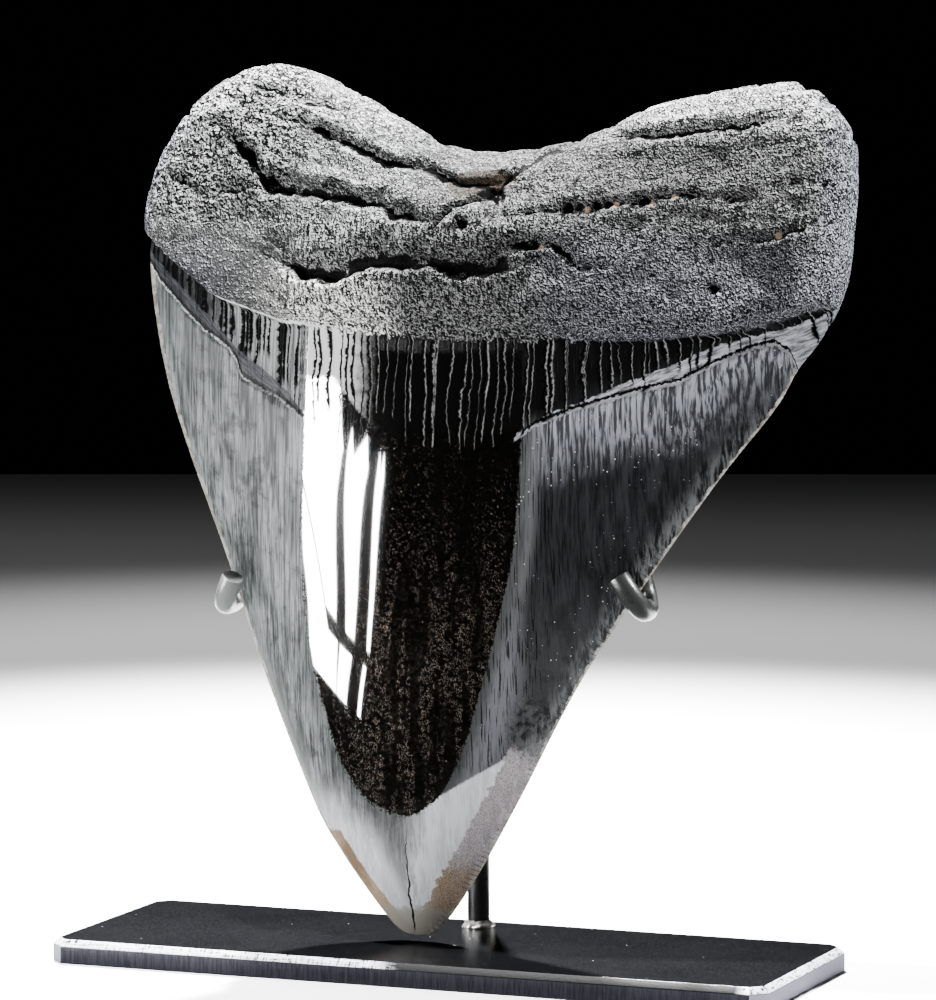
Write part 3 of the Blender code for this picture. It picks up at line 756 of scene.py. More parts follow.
def convex_depth(across, up, x, z):
    section = 1.0 - (2.0 * across - 1.0) ** 2
    crown = (TIP_DEPTH * (1.0 - np.exp(-z / TIP_RISE)) + CROWN_SLOPE * z) * section
    wing = height_on_line(x, WING_TOPS) - z
    ragged = 0.00035 * rough(x, z, 900.0, 900.0, 7.0, 2)
    raised = smooth_step(0.0, 0.0004, wing + ragged)
    level = smooth_step(STEP_BEYOND, LEVEL_WITHIN, np.abs(x))
    crown += ENAMEL_STEP * (raised + (1.0 - raised) * level) * np.minimum(1.0, 6.0 * section)
    bulge = ROOT_BULGE * bell(x, BULGE_PLACE[0], BULGE_REACH[0])
    bulge *= bell(z, BULGE_PLACE[1], BULGE_REACH[1])
    edge = rim(across, up, *ROOT_RADII)
    lobe = LOBE_DEPTH - LOBE_TAPER * smooth_step(TAPER_FROM, TOOTH_HEIGHT, z)
    lumpy = rough(x, z, 90.0, 150.0, 3.0, 2) * LUMP_HEIGHT
    left_lobe = smooth_step(-0.016, -0.026, x) * smooth_step(0.101, 0.107, z)
    high = smooth_step(0.096, 0.103, z)
    coarse = rough(x, z, 420.0, 520.0, 11.0, 3) * (0.00014 + 0.00014 * high + 0.00036 * left_lobe)
    slanted = rough(0.8 * x + 0.6 * z, 0.8 * z - 0.6 * x, 280.0, 90.0, 31.0, 2) * 0.00060
    slanted *= smooth_step(0.099, 0.105, z) * (1.0 - left_lobe)
    upright = rough(x, z, 1100.0, 160.0, 13.0, 2) * 0.00014
    cuts, dark = carved(x, z)
    root = (lobe + bulge + lumpy + coarse + slanted + upright + cuts) * edge
    border = height_on_line(x, ROOT_BORDER) + ragged
    run = LIP_RUN + MIDDLE_RUN * bell(x, MIDDLE_PLACE, MIDDLE_REACH)
    over = smooth_step(0.0, 1.0, (z - border + 0.0005) / run)
    return crown + (root - crown) * over, dark * smooth_step(-0.0009, 0.0005, z - border)


def flat_depth(across, up, x, z):
    section = 1.0 - (2.0 * across - 1.0) ** 2
    crown = CROWN_BACK_DEPTH * (1.0 - np.exp(-z / CROWN_BACK_RISE)) * section
    crown += ENAMEL_STEP * np.minimum(1.0, 6.0 * section)
    lobe = LOBE_BACK_DEPTH - 0.5 * LOBE_TAPER * smooth_step(TAPER_FROM, TOOTH_HEIGHT, z)
    lumpy = rough(x, z, 90.0, 150.0, 9.0, 2) * LUMP_HEIGHT
    coarse = rough(x, z, 420.0, 520.0, 17.0, 2) * 0.00025
    root = (lobe + lumpy + coarse) * rim(across, up, *ROOT_BACK_RADII)
    border = height_on_line(x, BACK_ROOT_BORDER) + 0.0006 * rough(x, z, 300.0, 300.0, 19.0, 2)
    return crown + (root - crown) * smooth_step(-0.001, 0.004, z - border)


def build_tooth_sheets():
    """Two grids joined at their rim, finer over the convex face's root and along its edges."""
    bm = bmesh.new()
    for side in (1.0, -1.0):
        bmesh.ops.reverse_faces(bm, faces=bm.faces)
        made = bmesh.ops.create_grid(
            bm, x_segments=TOOTH_COLUMNS, y_segments=TOOTH_ROWS, size=1.0)
        for vert in made["verts"]:
            on_rim = max(abs(vert.co.x), abs(vert.co.y)) > 0.9999
            vert.co.z = 0.0 if on_rim else side
            if vert.co.y < -0.9999:
                vert.co.x = 0.0
    bmesh.ops.remove_doubles(bm, verts=bm.verts, dist=0.0001)

    lowest = 2.0 * FINE_ROWS_FROM - 1.0
    fine = set()
    for face in bm.faces:
        middle = face.calc_center_median()
        if middle.z < -0.1 and middle.y > lowest:
            fine.update(face.edges)
    plain = [edge for edge in bm.edges if edge not in fine]
    bmesh.ops.subdivide_edges(bm, edges=list(fine), cuts=3, use_grid_fill=True)
    plain = [edge for edge in plain if edge.is_valid]
    bmesh.ops.subdivide_edges(bm, edges=plain, cuts=1, use_grid_fill=True)
    cutting = [e for e in bm.edges
               if all(abs(v.co.z) < 0.0001 and abs(v.co.x) > 0.9999 for v in e.verts)
               and e.verts[0].co.y < lowest]
    bmesh.ops.subdivide_edges(bm, edges=cutting, cuts=3)
    return bm


def build_tooth():
    bm = build_tooth_sheets()
    flat = np.array([vert.co[:] for vert in bm.verts])
    on_rim = np.abs(flat[:, 2]) < 0.0001
    front = flat[:, 2] < -0.0001
    back = flat[:, 2] > 0.0001
    t = 0.5 + 0.5 * flat[:, 0]
    across = t - COLUMN_CROWDING * np.sin(2.0 * np.pi * t) / (2.0 * np.pi)
    t = 0.5 + 0.5 * flat[:, 1]
    up = t - ROW_CROWDING * np.sin(2.0 * np.pi * t) / (2.0 * np.pi)
    x, z = outline_places(across, up)

    on_lobes = smooth_step(0.093, 0.104, z)
    chipped = np.clip(rough(x, z, 330.0, 330.0, 37.0, 3), 0.0, 1.0) * on_lobes
    z = z - CHIP_DEPTH * chipped
    x = x * (1.0 - CHIP_DEPTH * chipped / 0.05)

    depth = np.zeros(len(x))
    dark = np.zeros(len(x))
    raised, dark[front] = convex_depth(across[front], up[front], x[front], z[front])
    depth[front] = -raised
    depth[back] = flat_depth(across[back], up[back], x[back], z[back])

    along = np.hypot(x, z)
    tick = np.abs(np.modf(along / SERRATION_PITCH)[0] - 0.5) * 2.0
    serrated = on_rim & (z > SERRATED_FROM) & (z < SERRATED_TO)
    x = np.where(serrated, x * (1.0 - SERRATION_DEPTH * tick / (np.abs(x) + 0.001)), x)

    edge = np.minimum(across, 1.0 - across) * width_at(up) * 1000.0
    root_border = np.where(back, height_on_line(x, BACK_ROOT_BORDER),
                           height_on_line(x, ROOT_BORDER))
    in_tongue, _ = distance_to_line(x, z, TONGUE.line[::6])
    low = TONGUE.line[:, 1].argmin()
    left = np.interp(z, TONGUE.line[:low + 1, 1][::-1], TONGUE.line[:low + 1, 0][::-1])
    right = np.interp(z, TONGUE.line[low:, 1], TONGUE.line[low:, 0])
    inside = (x > left) & (x < right) & (z > TONGUE.line[low, 1]) & ~back
    fields = {
        "root_in": (z - root_border) * 1000.0,
        "wing_in": np.where(back, 20.0, 1000.0 * (height_on_line(x, WING_TOPS) - z)),
        "slate_in": np.where(back, 20.0, 1000.0 * (height_on_line(x, SLATE_TOPS) - z)),
        "tongue_in": np.where(inside, 1.0, -1.0) * in_tongue * 1000.0,
        "crack_in": (z - height_on_line(x, CRACK_ENDS)) * 1000.0,
        "edge_in": edge,
        # Where the root's furrows and pits are painted black as shade.
        "furrow": dark,
        "sand": np.max([bell(np.hypot(x - px, z - pz), 0.0, SAND_GRAIN_REACH)
                        for px, pz in SAND_GRAINS], axis=0),
        "back": back.astype(float),
    }

    places = np.stack((x, depth, z), axis=1)
    turn = np.array(Matrix.Rotation(TOOTH_LEAN, 3, "X"))
    places = places @ turn.T + np.array(TOOTH_TIP)
    for vert, place in zip(bm.verts, places.tolist()):
        vert.co = place
    layers = {name: bm.verts.layers.float.new(name) for name in fields}
    for name, values in fields.items():
        layer = layers[name]
        for vert, value in zip(bm.verts, values.tolist()):
            vert[layer] = value
    bmesh.ops.triangulate(bm, faces=bm.faces)
    return bm


def build_streaks():
    """Lengthwise streaks, as the layers of enamel show them: fine ones within broad ones."""
    group, into, out = new_effect(
        "streaks",
        (("Where", "NodeSocketVector", None), ("Fineness", "NodeSocketFloat", 1.0)),
        ("Mask",))
    scaled = node(group, "ShaderNodeVectorMath",
                  {0: into.outputs["Where"], 3: into.outputs["Fineness"]}, operation="SCALE")
    broad = grain(group, stretched(group, scaled.outputs[0], (0.8, 0.5, 0.035)), 1.0, 3.0, 0.6)
    fine = grain(group, stretched(group, scaled.outputs[0], (3.2, 1.0, 0.10)), 1.0, 3.0, 0.65)
    both = maths(group, "ADD", maths(group, "MULTIPLY", broad, 0.5),
                 maths(group, "MULTIPLY", fine, 0.5))
    group.links.new(window(group, both, 0.40, 0.60), out.inputs[0])
    return group


def build_cracks():
    """Upright shrinkage cracks at uneven spacing, each wandering and of its own length."""
    group, into, out = new_effect(
        "upright_cracks",
        (("Where", "NodeSocketVector", None), ("Above End", "NodeSocketFloat", 0.0),
         ("Spacing", "NodeSocketFloat", 2.0), ("Width", "NodeSocketFloat", 0.15),
         ("Offset", "NodeSocketFloat", 0.0)),
        ("Mask",))
    where = into.outputs["Where"]
    x = node(group, "ShaderNodeSeparateXYZ", {0: where}).outputs[0]
    slow = grain(group, stretched(group, where, (0.20, 0.2, 0.12)), 1.0, 1.0, 0.5)
    quick = grain(group, stretched(group, where, (0.4, 0.4, 1.0)), 1.0, 3.0, 0.65)
    jagged = grain(group, stretched(group, where, (1.2, 1.2, 3.0)), 1.0, 2.0, 0.6)
    moved = maths(group, "ADD", maths(group, "MULTIPLY", slow, 2.2),
                  maths(group, "MULTIPLY", quick, 0.8))
    moved = maths(group, "ADD", moved, maths(group, "MULTIPLY", jagged, 0.35))
    moved = maths(group, "ADD", maths(group, "ADD", x, moved), into.outputs["Offset"])
    line = maths(group, "DIVIDE", moved, into.outputs["Spacing"])
    cells = node(group, "ShaderNodeTexVoronoi", {"W": line, "Scale": 1.0},
                 voronoi_dimensions="1D")
    away = maths(group, "MULTIPLY", cells.outputs["Distance"], into.outputs["Spacing"])
    chance = node(group, "ShaderNodeSeparateColor", {0: cells.outputs["Color"]})
    own_width = maths(group, "MULTIPLY", into.outputs["Width"],
                      window(group, chance.outputs[1], 0.0, 1.0, 0.5, 1.4))
    wide = maths(group, "MULTIPLY", own_width,
                 window(group, quick, 0.35, 0.6, 0.35, 1.25))
    mark = node(group, "ShaderNodeMapRange",
                {"Value": away, "From Min": wide,
                 "From Max": maths(group, "MULTIPLY", wide, 0.45)}).outputs[0]
    reach = maths(group, "ADD", into.outputs["Above End"],
                  maths(group, "MULTIPLY", chance.outputs[0], 7.0))
    long_enough = window(group, reach, 2.0, 3.5)
    group.links.new(maths(group, "MULTIPLY", mark, long_enough), out.inputs[0])
    return group


def build_relief():
    """Rough ground with painted light from above: its height, and how far each spot of it faces a
    fixed light, for painting light and shade.
    """
    group, into, out = new_effect(
        "painted_light_relief",
        (("Where", "NodeSocketVector", None), ("Fineness", "NodeSocketFloat", 1.0),
         ("Roughness", "NodeSocketFloat", 0.6), ("Step", "NodeSocketFloat", 0.13)),
        ("Height", "Facing"))
    where = into.outputs["Where"]
    # The step along which the painted light is read: up and to the right on the tooth.
    step = node(group, "ShaderNodeVectorMath",
                {0: (0.62, 0.0, 0.88), 3: into.outputs["Step"]}, operation="SCALE").outputs[0]
    above = node(group, "ShaderNodeVectorMath", {0: where, 1: step}, operation="ADD").outputs[0]
    heights = []
    for place in (where, above):
        swell = node(group, "ShaderNodeTexNoise",
                     {"Vector": place, "Scale": into.outputs["Fineness"], "Detail": 3.0,
                      "Roughness": into.outputs["Roughness"]}).outputs[0]
        crease = maths(group, "ABSOLUTE", maths(group, "SUBTRACT", swell, 0.5))
        heights.append(maths(group, "ADD", maths(group, "MULTIPLY", swell, 0.5), crease))
    group.links.new(heights[0], out.inputs[0])
    group.links.new(maths(group, "SUBTRACT", *heights), out.inputs[1])
    return group


streaks = build_streaks()
cracks = build_cracks()
relief = build_relief()


def field(tree, name):
    return node(tree, "ShaderNodeAttribute", attribute_name=name).outputs["Fac"]


def build_fossil_finish():
    material, tree, shader = new_finish("fossil")

    def times(a, b):
        return maths(tree, "MULTIPLY", a, b)

    def plus(a, b):
        return maths(tree, "ADD", a, b)

    def flipped(mask):
        return maths(tree, "SUBTRACT", 1.0, mask)

    def noisy(value, texture, amount):
        return plus(value, times(maths(tree, "SUBTRACT", texture, 0.5), amount))

    place = node(tree, "ShaderNodeTexCoord").outputs["Object"]
    where = node(tree, "ShaderNodeMapping",
                 {"Vector": place, "Location": TOOTH_TIP, "Rotation": (TOOTH_LEAN, 0.0, 0.0),
                  "Scale": (0.001, 0.001, 0.001)}, vector_type="TEXTURE").outputs[0]
    x, y, z = node(tree, "ShaderNodeSeparateXYZ", {0: where}).outputs[:3]
    root_in, wing_in, slate_in, tongue_in, crack_in, edge_in, furrow, sand, back = (
        field(tree, name) for name in ("root_in", "wing_in", "slate_in", "tongue_in",
                                       "crack_in", "edge_in", "furrow", "sand", "back"))

    fine = grain(tree, where, 2.4, 2.0, 0.6)
    middling = grain(tree, where, 0.8, 3.0, 0.6)
    cloud = grain(tree, where, 0.11, 4.0, 0.6)
    streak = use_effect(tree, streaks, Where=where, Fineness=1.0)

    # Enamel: greenish grey on the left wing, charcoal on the right. The left wing's pale grey is
    # partly its own and partly a painted sheen from the window at the left.
    on_right = window(tree, noisy(x, cloud, 8.0), -4.0, 5.0)
    on_left = flipped(on_right)
    outside = maths(tree, "MULTIPLY", tongue_in, -1.0)
    pale = paint(tree, streak, (0.075, 0.084, 0.083), (0.360, 0.385, 0.388))
    wisp = times(window(tree, grain(tree, stretched(tree, where, (0.55, 0.4, 0.09)), 1.0, 2.0, 0.6),
                        0.60, 0.74), window(tree, z, 40.0, 60.0))
    by_tongue = times(window(tree, noisy(outside, cloud, 6.0), 8.0, 1.0),
                      window(tree, z, 46.0, 56.0))
    pale = paint(tree, times(by_tongue, window(tree, streak, 0.1, 0.8)), pale,
                 (0.36, 0.39, 0.395))
    pale = paint(tree, wisp, pale, (0.42, 0.45, 0.46))
    drift = window(tree, grain(tree, stretched(tree, where, (0.16, 0.2, 0.07)), 1.0, 3.0, 0.6),
                   0.44, 0.60)
    pale = paint(tree, times(drift, 0.6), pale, (0.034, 0.038, 0.036))
    hairs = grain(tree, stretched(tree, where, (5.5, 1.0, 0.06)), 1.0, 2.0, 0.5)
    pale = paint(tree, times(window(tree, hairs, 0.56, 0.64), 0.6), pale, (0.020, 0.022, 0.022))
    pale = paint(tree, times(window(tree, hairs, 0.42, 0.36), 0.5), pale, (0.38, 0.41, 0.41))
    charcoal = paint(tree, times(streak, 0.6), (0.0080, 0.0085, 0.0090), (0.036, 0.039, 0.042))
    charcoal = paint(tree, times(window(tree, z, 54.0, 36.0), 0.45), charcoal,
                     (0.085, 0.090, 0.092))
    enamel = paint(tree, on_right, pale, charcoal)
    mottle = window(tree, grain(tree, where, 0.30, 4.0, 0.65), 0.50, 0.66)
    enamel = paint(tree, times(mottle, 0.55), enamel, (0.014, 0.015, 0.016))
    left_shade = times(window(tree, noisy(outside, middling, 3.0), 7.5, 0.0), on_left)
    left_shade = times(left_shade, window(tree, z, 52.0, 34.0))
    shade_tone = paint(tree, streak, (0.007, 0.008, 0.008), (0.030, 0.034, 0.032))
    enamel = paint(tree, times(left_shade, 0.55), enamel, shade_tone)
    by_left = times(window(tree, noisy(edge_in, middling, 2.5), 5.0, 1.0), on_left)
    enamel = paint(tree, times(by_left, window(tree, z, 55.0, 30.0)), enamel, (0.16, 0.175, 0.17))

    # A pale band of long streaks follows the tongue's right border and widens downwards.
    band_width = window(tree, z, 50.0, 30.0, 3.4, 6.5)
    beside = times(node(tree, "ShaderNodeMapRange",
                        {"Value": outside, "From Min": band_width,
                         "From Max": times(band_width, 0.55)}).outputs[0], on_right)
    long_streak = grain(tree, stretched(tree, where, (3.4, 1.0, 0.045)), 1.0, 3.0, 0.6)
    beside = times(beside, window(tree, long_streak, 0.30, 0.50, 0.45, 1.0))
    beside_tone = paint(tree, window(tree, z, 50.0, 34.0), (0.115, 0.120, 0.124),
                        (0.190, 0.193, 0.215))
    beside_tone = paint(tree, window(tree, noisy(outside, middling, 1.0), 2.2, 0.2), beside_tone,
                        (0.070, 0.074, 0.074))
    enamel = paint(tree, times(beside, 0.9), enamel, beside_tone)
    hair_cracks = times(window(tree, hairs, 0.585, 0.62), window(tree, z, 22.0, 26.0))
    hair_cracks = times(hair_cracks, times(on_right, window(tree, outside, 8.0, 6.0)))
    enamel = paint(tree, times(hair_cracks, 0.9), enamel, (0.004, 0.004, 0.004))
    # Painted sheen: a bluish band near the top of the right wing, broken into rays.
    rays = grain(tree, stretched(tree, where, (2.4, 1.0, 0.07)), 1.0, 3.0, 0.6)
    top_sheen = times(window(tree, noisy(wing_in, cloud, 12.0), 11.0, 0.0),
                     window(tree, rays, 0.42, 0.60, 0.08, 1.0))
    top_sheen = times(top_sheen, window(tree, wing_in, -0.1, 0.1))
    top_sheen = times(times(top_sheen, flipped(back)), window(tree, x, 16.0, 22.0))
    enamel = paint(tree, times(top_sheen, 0.85), enamel, (0.43, 0.45, 0.51))
    patch_far = node(tree, "ShaderNodeVectorMath", {0: where, 1: DULL_PATCH},
                     operation="SUBTRACT").outputs[0]
    patch_far = node(tree, "ShaderNodeVectorMath",
                     {0: stretched(tree, patch_far, (0.30, 0.0, 0.22))}, operation="LENGTH")
    dull = window(tree, noisy(patch_far.outputs["Value"], fine, 1.2), 1.2, 0.6)

    # The tip is milky below a sharp slanting line, speckled lavender on the right, tan along
    # both edges, and split down the middle by one dark crack. Its milky white is partly the
    # enamel's own and partly a painted reflection of the pale floor.
    slant = plus(z, times(x, -0.667))
    milky_and_reflection = maths(tree, "MAXIMUM", window(tree, noisy(slant, fine, 0.5), 17.0, 16.6),
                  times(window(tree, noisy(z, cloud, 10.0), 26.0, 12.0), on_left))
    milk_and_reflection_tone = paint(tree, streak, (0.68, 0.70, 0.735), (0.90, 0.92, 0.95))
    enamel = paint(tree, times(milky_and_reflection, flipped(times(left_shade, 0.9))), enamel, milk_and_reflection_tone)
    speckle = window(tree, grain(tree, where, 5.5, 3.0, 0.65), 0.38, 0.62)
    lavender = paint(tree, speckle, (0.58, 0.535, 0.565), (0.270, 0.240, 0.250))
    tan = paint(tree, speckle, (0.48, 0.370, 0.270), (0.230, 0.165, 0.112))
    lavender = paint(tree, window(tree, noisy(z, middling, 4.0), 12.0, 8.0), lavender, tan)
    by_edge = window(tree, noisy(noisy(edge_in, middling, 2.6), fine, 0.9), 4.3, 3.9)
    right_low = times(times(by_edge, on_right), window(tree, noisy(z, cloud, 8.0), 28.0, 26.0))
    enamel = paint(tree, right_low, enamel, lavender)
    dull_tone = paint(tree, window(tree, middling, 0.38, 0.62), (0.010, 0.0105, 0.011),
                      (0.085, 0.088, 0.088))
    enamel = paint(tree, times(dull, 0.85), enamel, dull_tone)
    left_low = times(window(tree, noisy(edge_in, middling, 1.2), 3.4, 2.9), on_left)
    left_low = times(left_low, window(tree, noisy(z, fine, 1.0), 14.6, 14.2))
    tan_left = paint(tree, window(tree, cloud, 0.40, 0.60), (0.56, 0.430, 0.305),
                     (0.28, 0.190, 0.120))
    enamel = paint(tree, left_low, enamel, tan_left)
    point = window(tree, noisy(z, middling, 2.0), 4.6, 3.4)
    enamel = paint(tree, times(point, 0.85), enamel, (0.400, 0.385, 0.330))
    middle_line = plus(x, times(maths(tree, "SUBTRACT",
                                      grain(tree, where, 0.35, 3.0, 0.7), 0.5), 1.1))
    from_middle = maths(tree, "ABSOLUTE", middle_line)
    smoky_reach = window(tree, z, 1.0, 17.0, 0.3, 4.6)
    smoky_side = maths(tree, "ABSOLUTE", plus(noisy(x, streak, 1.2), times(smoky_reach, 0.35)))
    smoky = node(tree, "ShaderNodeMapRange",
                 {"Value": smoky_side, "From Min": smoky_reach,
                  "From Max": times(smoky_reach, 0.35)}).outputs[0]
    smoky = times(smoky, window(tree, z, 2.0, 13.0, 0.20, 1.0))
    smoky_tone = paint(tree, streak, (0.038, 0.042, 0.041), (0.125, 0.134, 0.130))
    enamel = paint(tree, times(smoky, 0.76), enamel, smoky_tone)
    crack_width = window(tree, z, 14.0, 3.0, 0.07, 0.20)
    tip_crack = node(tree, "ShaderNodeMapRange",
                     {"Value": from_middle, "From Min": crack_width,
                      "From Max": times(crack_width, 0.5)}).outputs[0]
    tip_crack = times(tip_crack, window(tree, z, 15.5, 13.5))
    tip_crack = times(times(tip_crack, window(tree, z, 0.4, 1.2)), flipped(back))
    enamel = paint(tree, tip_crack, enamel, (0.004, 0.004, 0.004))

    # White specks in the charcoal, and a worn white rim with fine serration ticks.
    white = use_effect(tree, specks, Where=where, Spacing=0.62, Size=0.14, Share=0.55)
    white = times(white, window(tree, grain(tree, where, 0.10, 2.0, 0.5), 0.42, 0.56))
    enamel = paint(tree, times(white, times(on_right, window(tree, z, 28.0, 34.0))), enamel,
                   (0.85, 0.85, 0.85))
    # Painted sheen: the right wing is painted paler within a few millimetres of its edge.
    glow = times(window(tree, noisy(edge_in, cloud, 6.0), 3.5, 0.4), window(tree, streak, 0.0, 1.0))
    enamel = paint(tree, times(times(glow, on_right), 0.6), enamel, (0.20, 0.205, 0.21))
    worn_reach = plus(edge_in, times(on_left, -0.35))
    worn = window(tree, noisy(worn_reach, middling, 1.3), 0.45, 0.20)
    worn_tone = paint(tree, window(tree, middling, 0.40, 0.60), (0.50, 0.49, 0.46),
                      (0.26, 0.215, 0.170))
    enamel = paint(tree, times(worn, 0.85), enamel, worn_tone)
    along = plus(times(maths(tree, "ABSOLUTE", x), 0.53), times(z, 0.85))
    waves = maths(tree, "SINE", times(along, 2.0 * math.pi / (SERRATION_PITCH * 1000.0)))
    ticks = times(window(tree, waves, 0.80, 0.95), window(tree, edge_in, 1.5, 0.6))
    ticks = times(ticks, window(tree, grain(tree, where, 0.25, 2.0, 0.5), 0.42, 0.58))
    ticks = times(times(ticks, on_right), window(tree, z, 70.0, 55.0))
    enamel = paint(tree, times(ticks, 0.8), enamel, (0.02, 0.02, 0.022))

    # The tongue: a black core with fine brown flecks, more of them towards its lower end.
    flecks = grain(tree, stretched(tree, where, (8.0, 2.0, 4.6)), 1.0, 2.0, 0.6)
    lower = times(window(tree, z, 76.0, 36.0), window(tree, x, -12.0, -3.0, 0.55, 1.0))
    flecks = window(tree, plus(flecks, times(lower, 0.12)), 0.64, 0.72)
    columns = grain(tree, stretched(tree, where, (0.6, 0.4, 0.06)), 1.0, 2.0, 0.5)
    bright_fleck = window(tree, grain(tree, where, 1.3, 2.0, 0.6), 0.36, 0.64, 0.06, 1.0)
    bright_fleck = times(bright_fleck, window(tree, columns, 0.38, 0.56, 0.20, 1.0))
    core = paint(tree, cloud, (0.0008, 0.0008, 0.0008), (0.0024, 0.0020, 0.0017))
    core = paint(tree, times(flecks, bright_fleck), core, (0.165, 0.140, 0.118))
    # Painted glints: small pale specks over the black core.
    glints = use_effect(tree, specks, Where=where, Spacing=1.2, Size=0.08, Share=0.30)
    core = paint(tree, glints, core, (0.30, 0.28, 0.25))
    tongue = times(window(tree, noisy(tongue_in, fine, 0.9), -0.15, 0.15), flipped(back))
    dots = times(window(tree, maths(tree, "ABSOLUTE", plus(tongue_in, 0.15)), 0.30, 0.15),
                 window(tree, fine, 0.50, 0.56))
    dots = times(times(dots, on_left), flipped(back))
    enamel = paint(tree, dots, enamel, (0.003, 0.003, 0.003))
    surface = paint(tree, tongue, enamel, core)

    # The band under the root: dark, and cracked upright. The cracks' raised sides carry a painted
    # highlight, and left of the middle the band is painted pale as a painted reflection of the
    # window.
    below_root = times(window(tree, root_in, 3.5, 0.0), flipped(back))
    not_wing = window(tree, wing_in, 0.2, -0.2)
    band = times(window(tree, noisy(crack_in, cloud, 6.0), -2.0, 3.0),
                 times(not_wing, flipped(back)))
    dusky = paint(tree, streak, (0.080, 0.086, 0.086), (0.380, 0.400, 0.400))
    dusky = paint(tree, window(tree, noisy(x, middling, 4.0), -28.0, -36.0), dusky,
                  (0.012, 0.013, 0.014))
    at_left = window(tree, x, -16.8, -17.6)
    ground = paint(tree, at_left, (0.0028, 0.0028, 0.0028), dusky)
    surface = paint(tree, band, surface, ground)
    # Painted reflection of the window: left of the middle and above a slanting line the band is
    # painted pale, white furthest left.
    painted_reflection_low = maths(tree, "MINIMUM", plus(65.6, times(x, -1.03)), 78.6)
    painted_reflection = window(tree, noisy(maths(tree, "SUBTRACT", z, painted_reflection_low), fine, 1.5), -0.5, 0.6)
    painted_reflection = times(painted_reflection, flipped(at_left))
    painted_reflection_tone = paint(tree, window(tree, noisy(x, middling, 6.0), -10.0, -3.0),
                      (0.34, 0.345, 0.34), (0.012, 0.013, 0.013))
    painted_reflection_tone = paint(tree, window(tree, middling, 0.52, 0.36, 0.0, 0.6), painted_reflection_tone,
                      (0.085, 0.088, 0.086))
    painted_reflection_tone = paint(tree, window(tree, noisy(x, middling, 5.0), -7.0, -12.0), painted_reflection_tone,
                      (0.74, 0.75, 0.74))
    painted_reflection = times(painted_reflection, window(tree, noisy(x, middling, 5.0), -5.0, -9.5))
    surface = paint(tree, times(painted_reflection, not_wing), surface, painted_reflection_tone)
    spacing = window(tree, x, -17.8, -16.8, 1.00, 1.35)
    dark_line = use_effect(tree, cracks, Where=where, Above_End=crack_in, Spacing=spacing,
                           Width=window(tree, x, -17.8, -16.8, 0.38, 0.30), Offset=0.16)
    pale_line = use_effect(tree, cracks, Where=where, Above_End=crack_in, Spacing=1.35,
                           Width=0.11, Offset=0.0)
    pale_line = times(pale_line, window(tree, fine, 0.34, 0.50, 0.35, 1.0))
    dark_line = times(dark_line, times(below_root, not_wing))
    pale_line = times(pale_line, times(below_root, not_wing))

    # Slate bands above the wings. Where the enamel starts, a thin ragged painted highlight runs
    # along its edge, with a painted shadow line just above it.
    along_slate = node(tree, "ShaderNodeCombineXYZ",
                       {0: times(x, 0.45), 1: times(slate_in, 2.4), 2: times(y, 0.3)}).outputs[0]
    slate_tone = grain(tree, along_slate, 1.0, 4.0, 0.7)
    slate = paint(tree, window(tree, slate_tone, 0.36, 0.64),
                  (0.012, 0.013, 0.015), (0.060, 0.063, 0.072))
    slate_right = paint(tree, window(tree, slate_tone, 0.36, 0.64),
                        (0.100, 0.104, 0.114), (0.560, 0.575, 0.620))
    slate = paint(tree, window(tree, x, 0.0, 4.0), slate, slate_right)
    on_slate = times(window(tree, noisy(slate_in, middling, 1.2), -0.1, 0.15),
                     times(not_wing, flipped(back)))
    surface = paint(tree, on_slate, surface, slate)
    off_tongue = flipped(tongue)
    # Painted highlight along the top edge of the enamel, whitest on the left.
    lip = maths(tree, "ABSOLUTE", noisy(wing_in, middling, 0.7))
    lip = times(window(tree, lip, 0.25, 0.08), window(tree, fine, 0.42, 0.5))
    lip_tone = paint(tree, window(tree, x, -26.0, -29.0), (0.34, 0.35, 0.36), (0.85, 0.87, 0.88))
    surface = paint(tree, times(times(lip, flipped(back)), off_tongue), surface, lip_tone)
    # Painted shadow: a thin black line just above that edge.
    painted_shadow_line = maths(tree, "ABSOLUTE", plus(noisy(wing_in, fine, 0.9), 0.55))
    painted_shadow_line = times(times(window(tree, painted_shadow_line, 0.32, 0.14), off_tongue), flipped(back))
    surface = paint(tree, painted_shadow_line, surface, (0.002, 0.002, 0.002))

    dark_line = times(dark_line, flipped(times(on_slate, window(tree, x, 0.0, -17.0, 0.0, 0.85))))
    surface = paint(tree, dark_line, surface, (0.0012, 0.0012, 0.0012))
    # Painted highlight on the cracks' raised sides, painted dark instead where the band carries the
    # painted reflection.
    lit = paint(tree, window(tree, x, -5.0, -9.0), (0.24, 0.24, 0.235), (0.02, 0.02, 0.02))
    surface = paint(tree, times(pale_line, flipped(on_slate)), surface, lit)

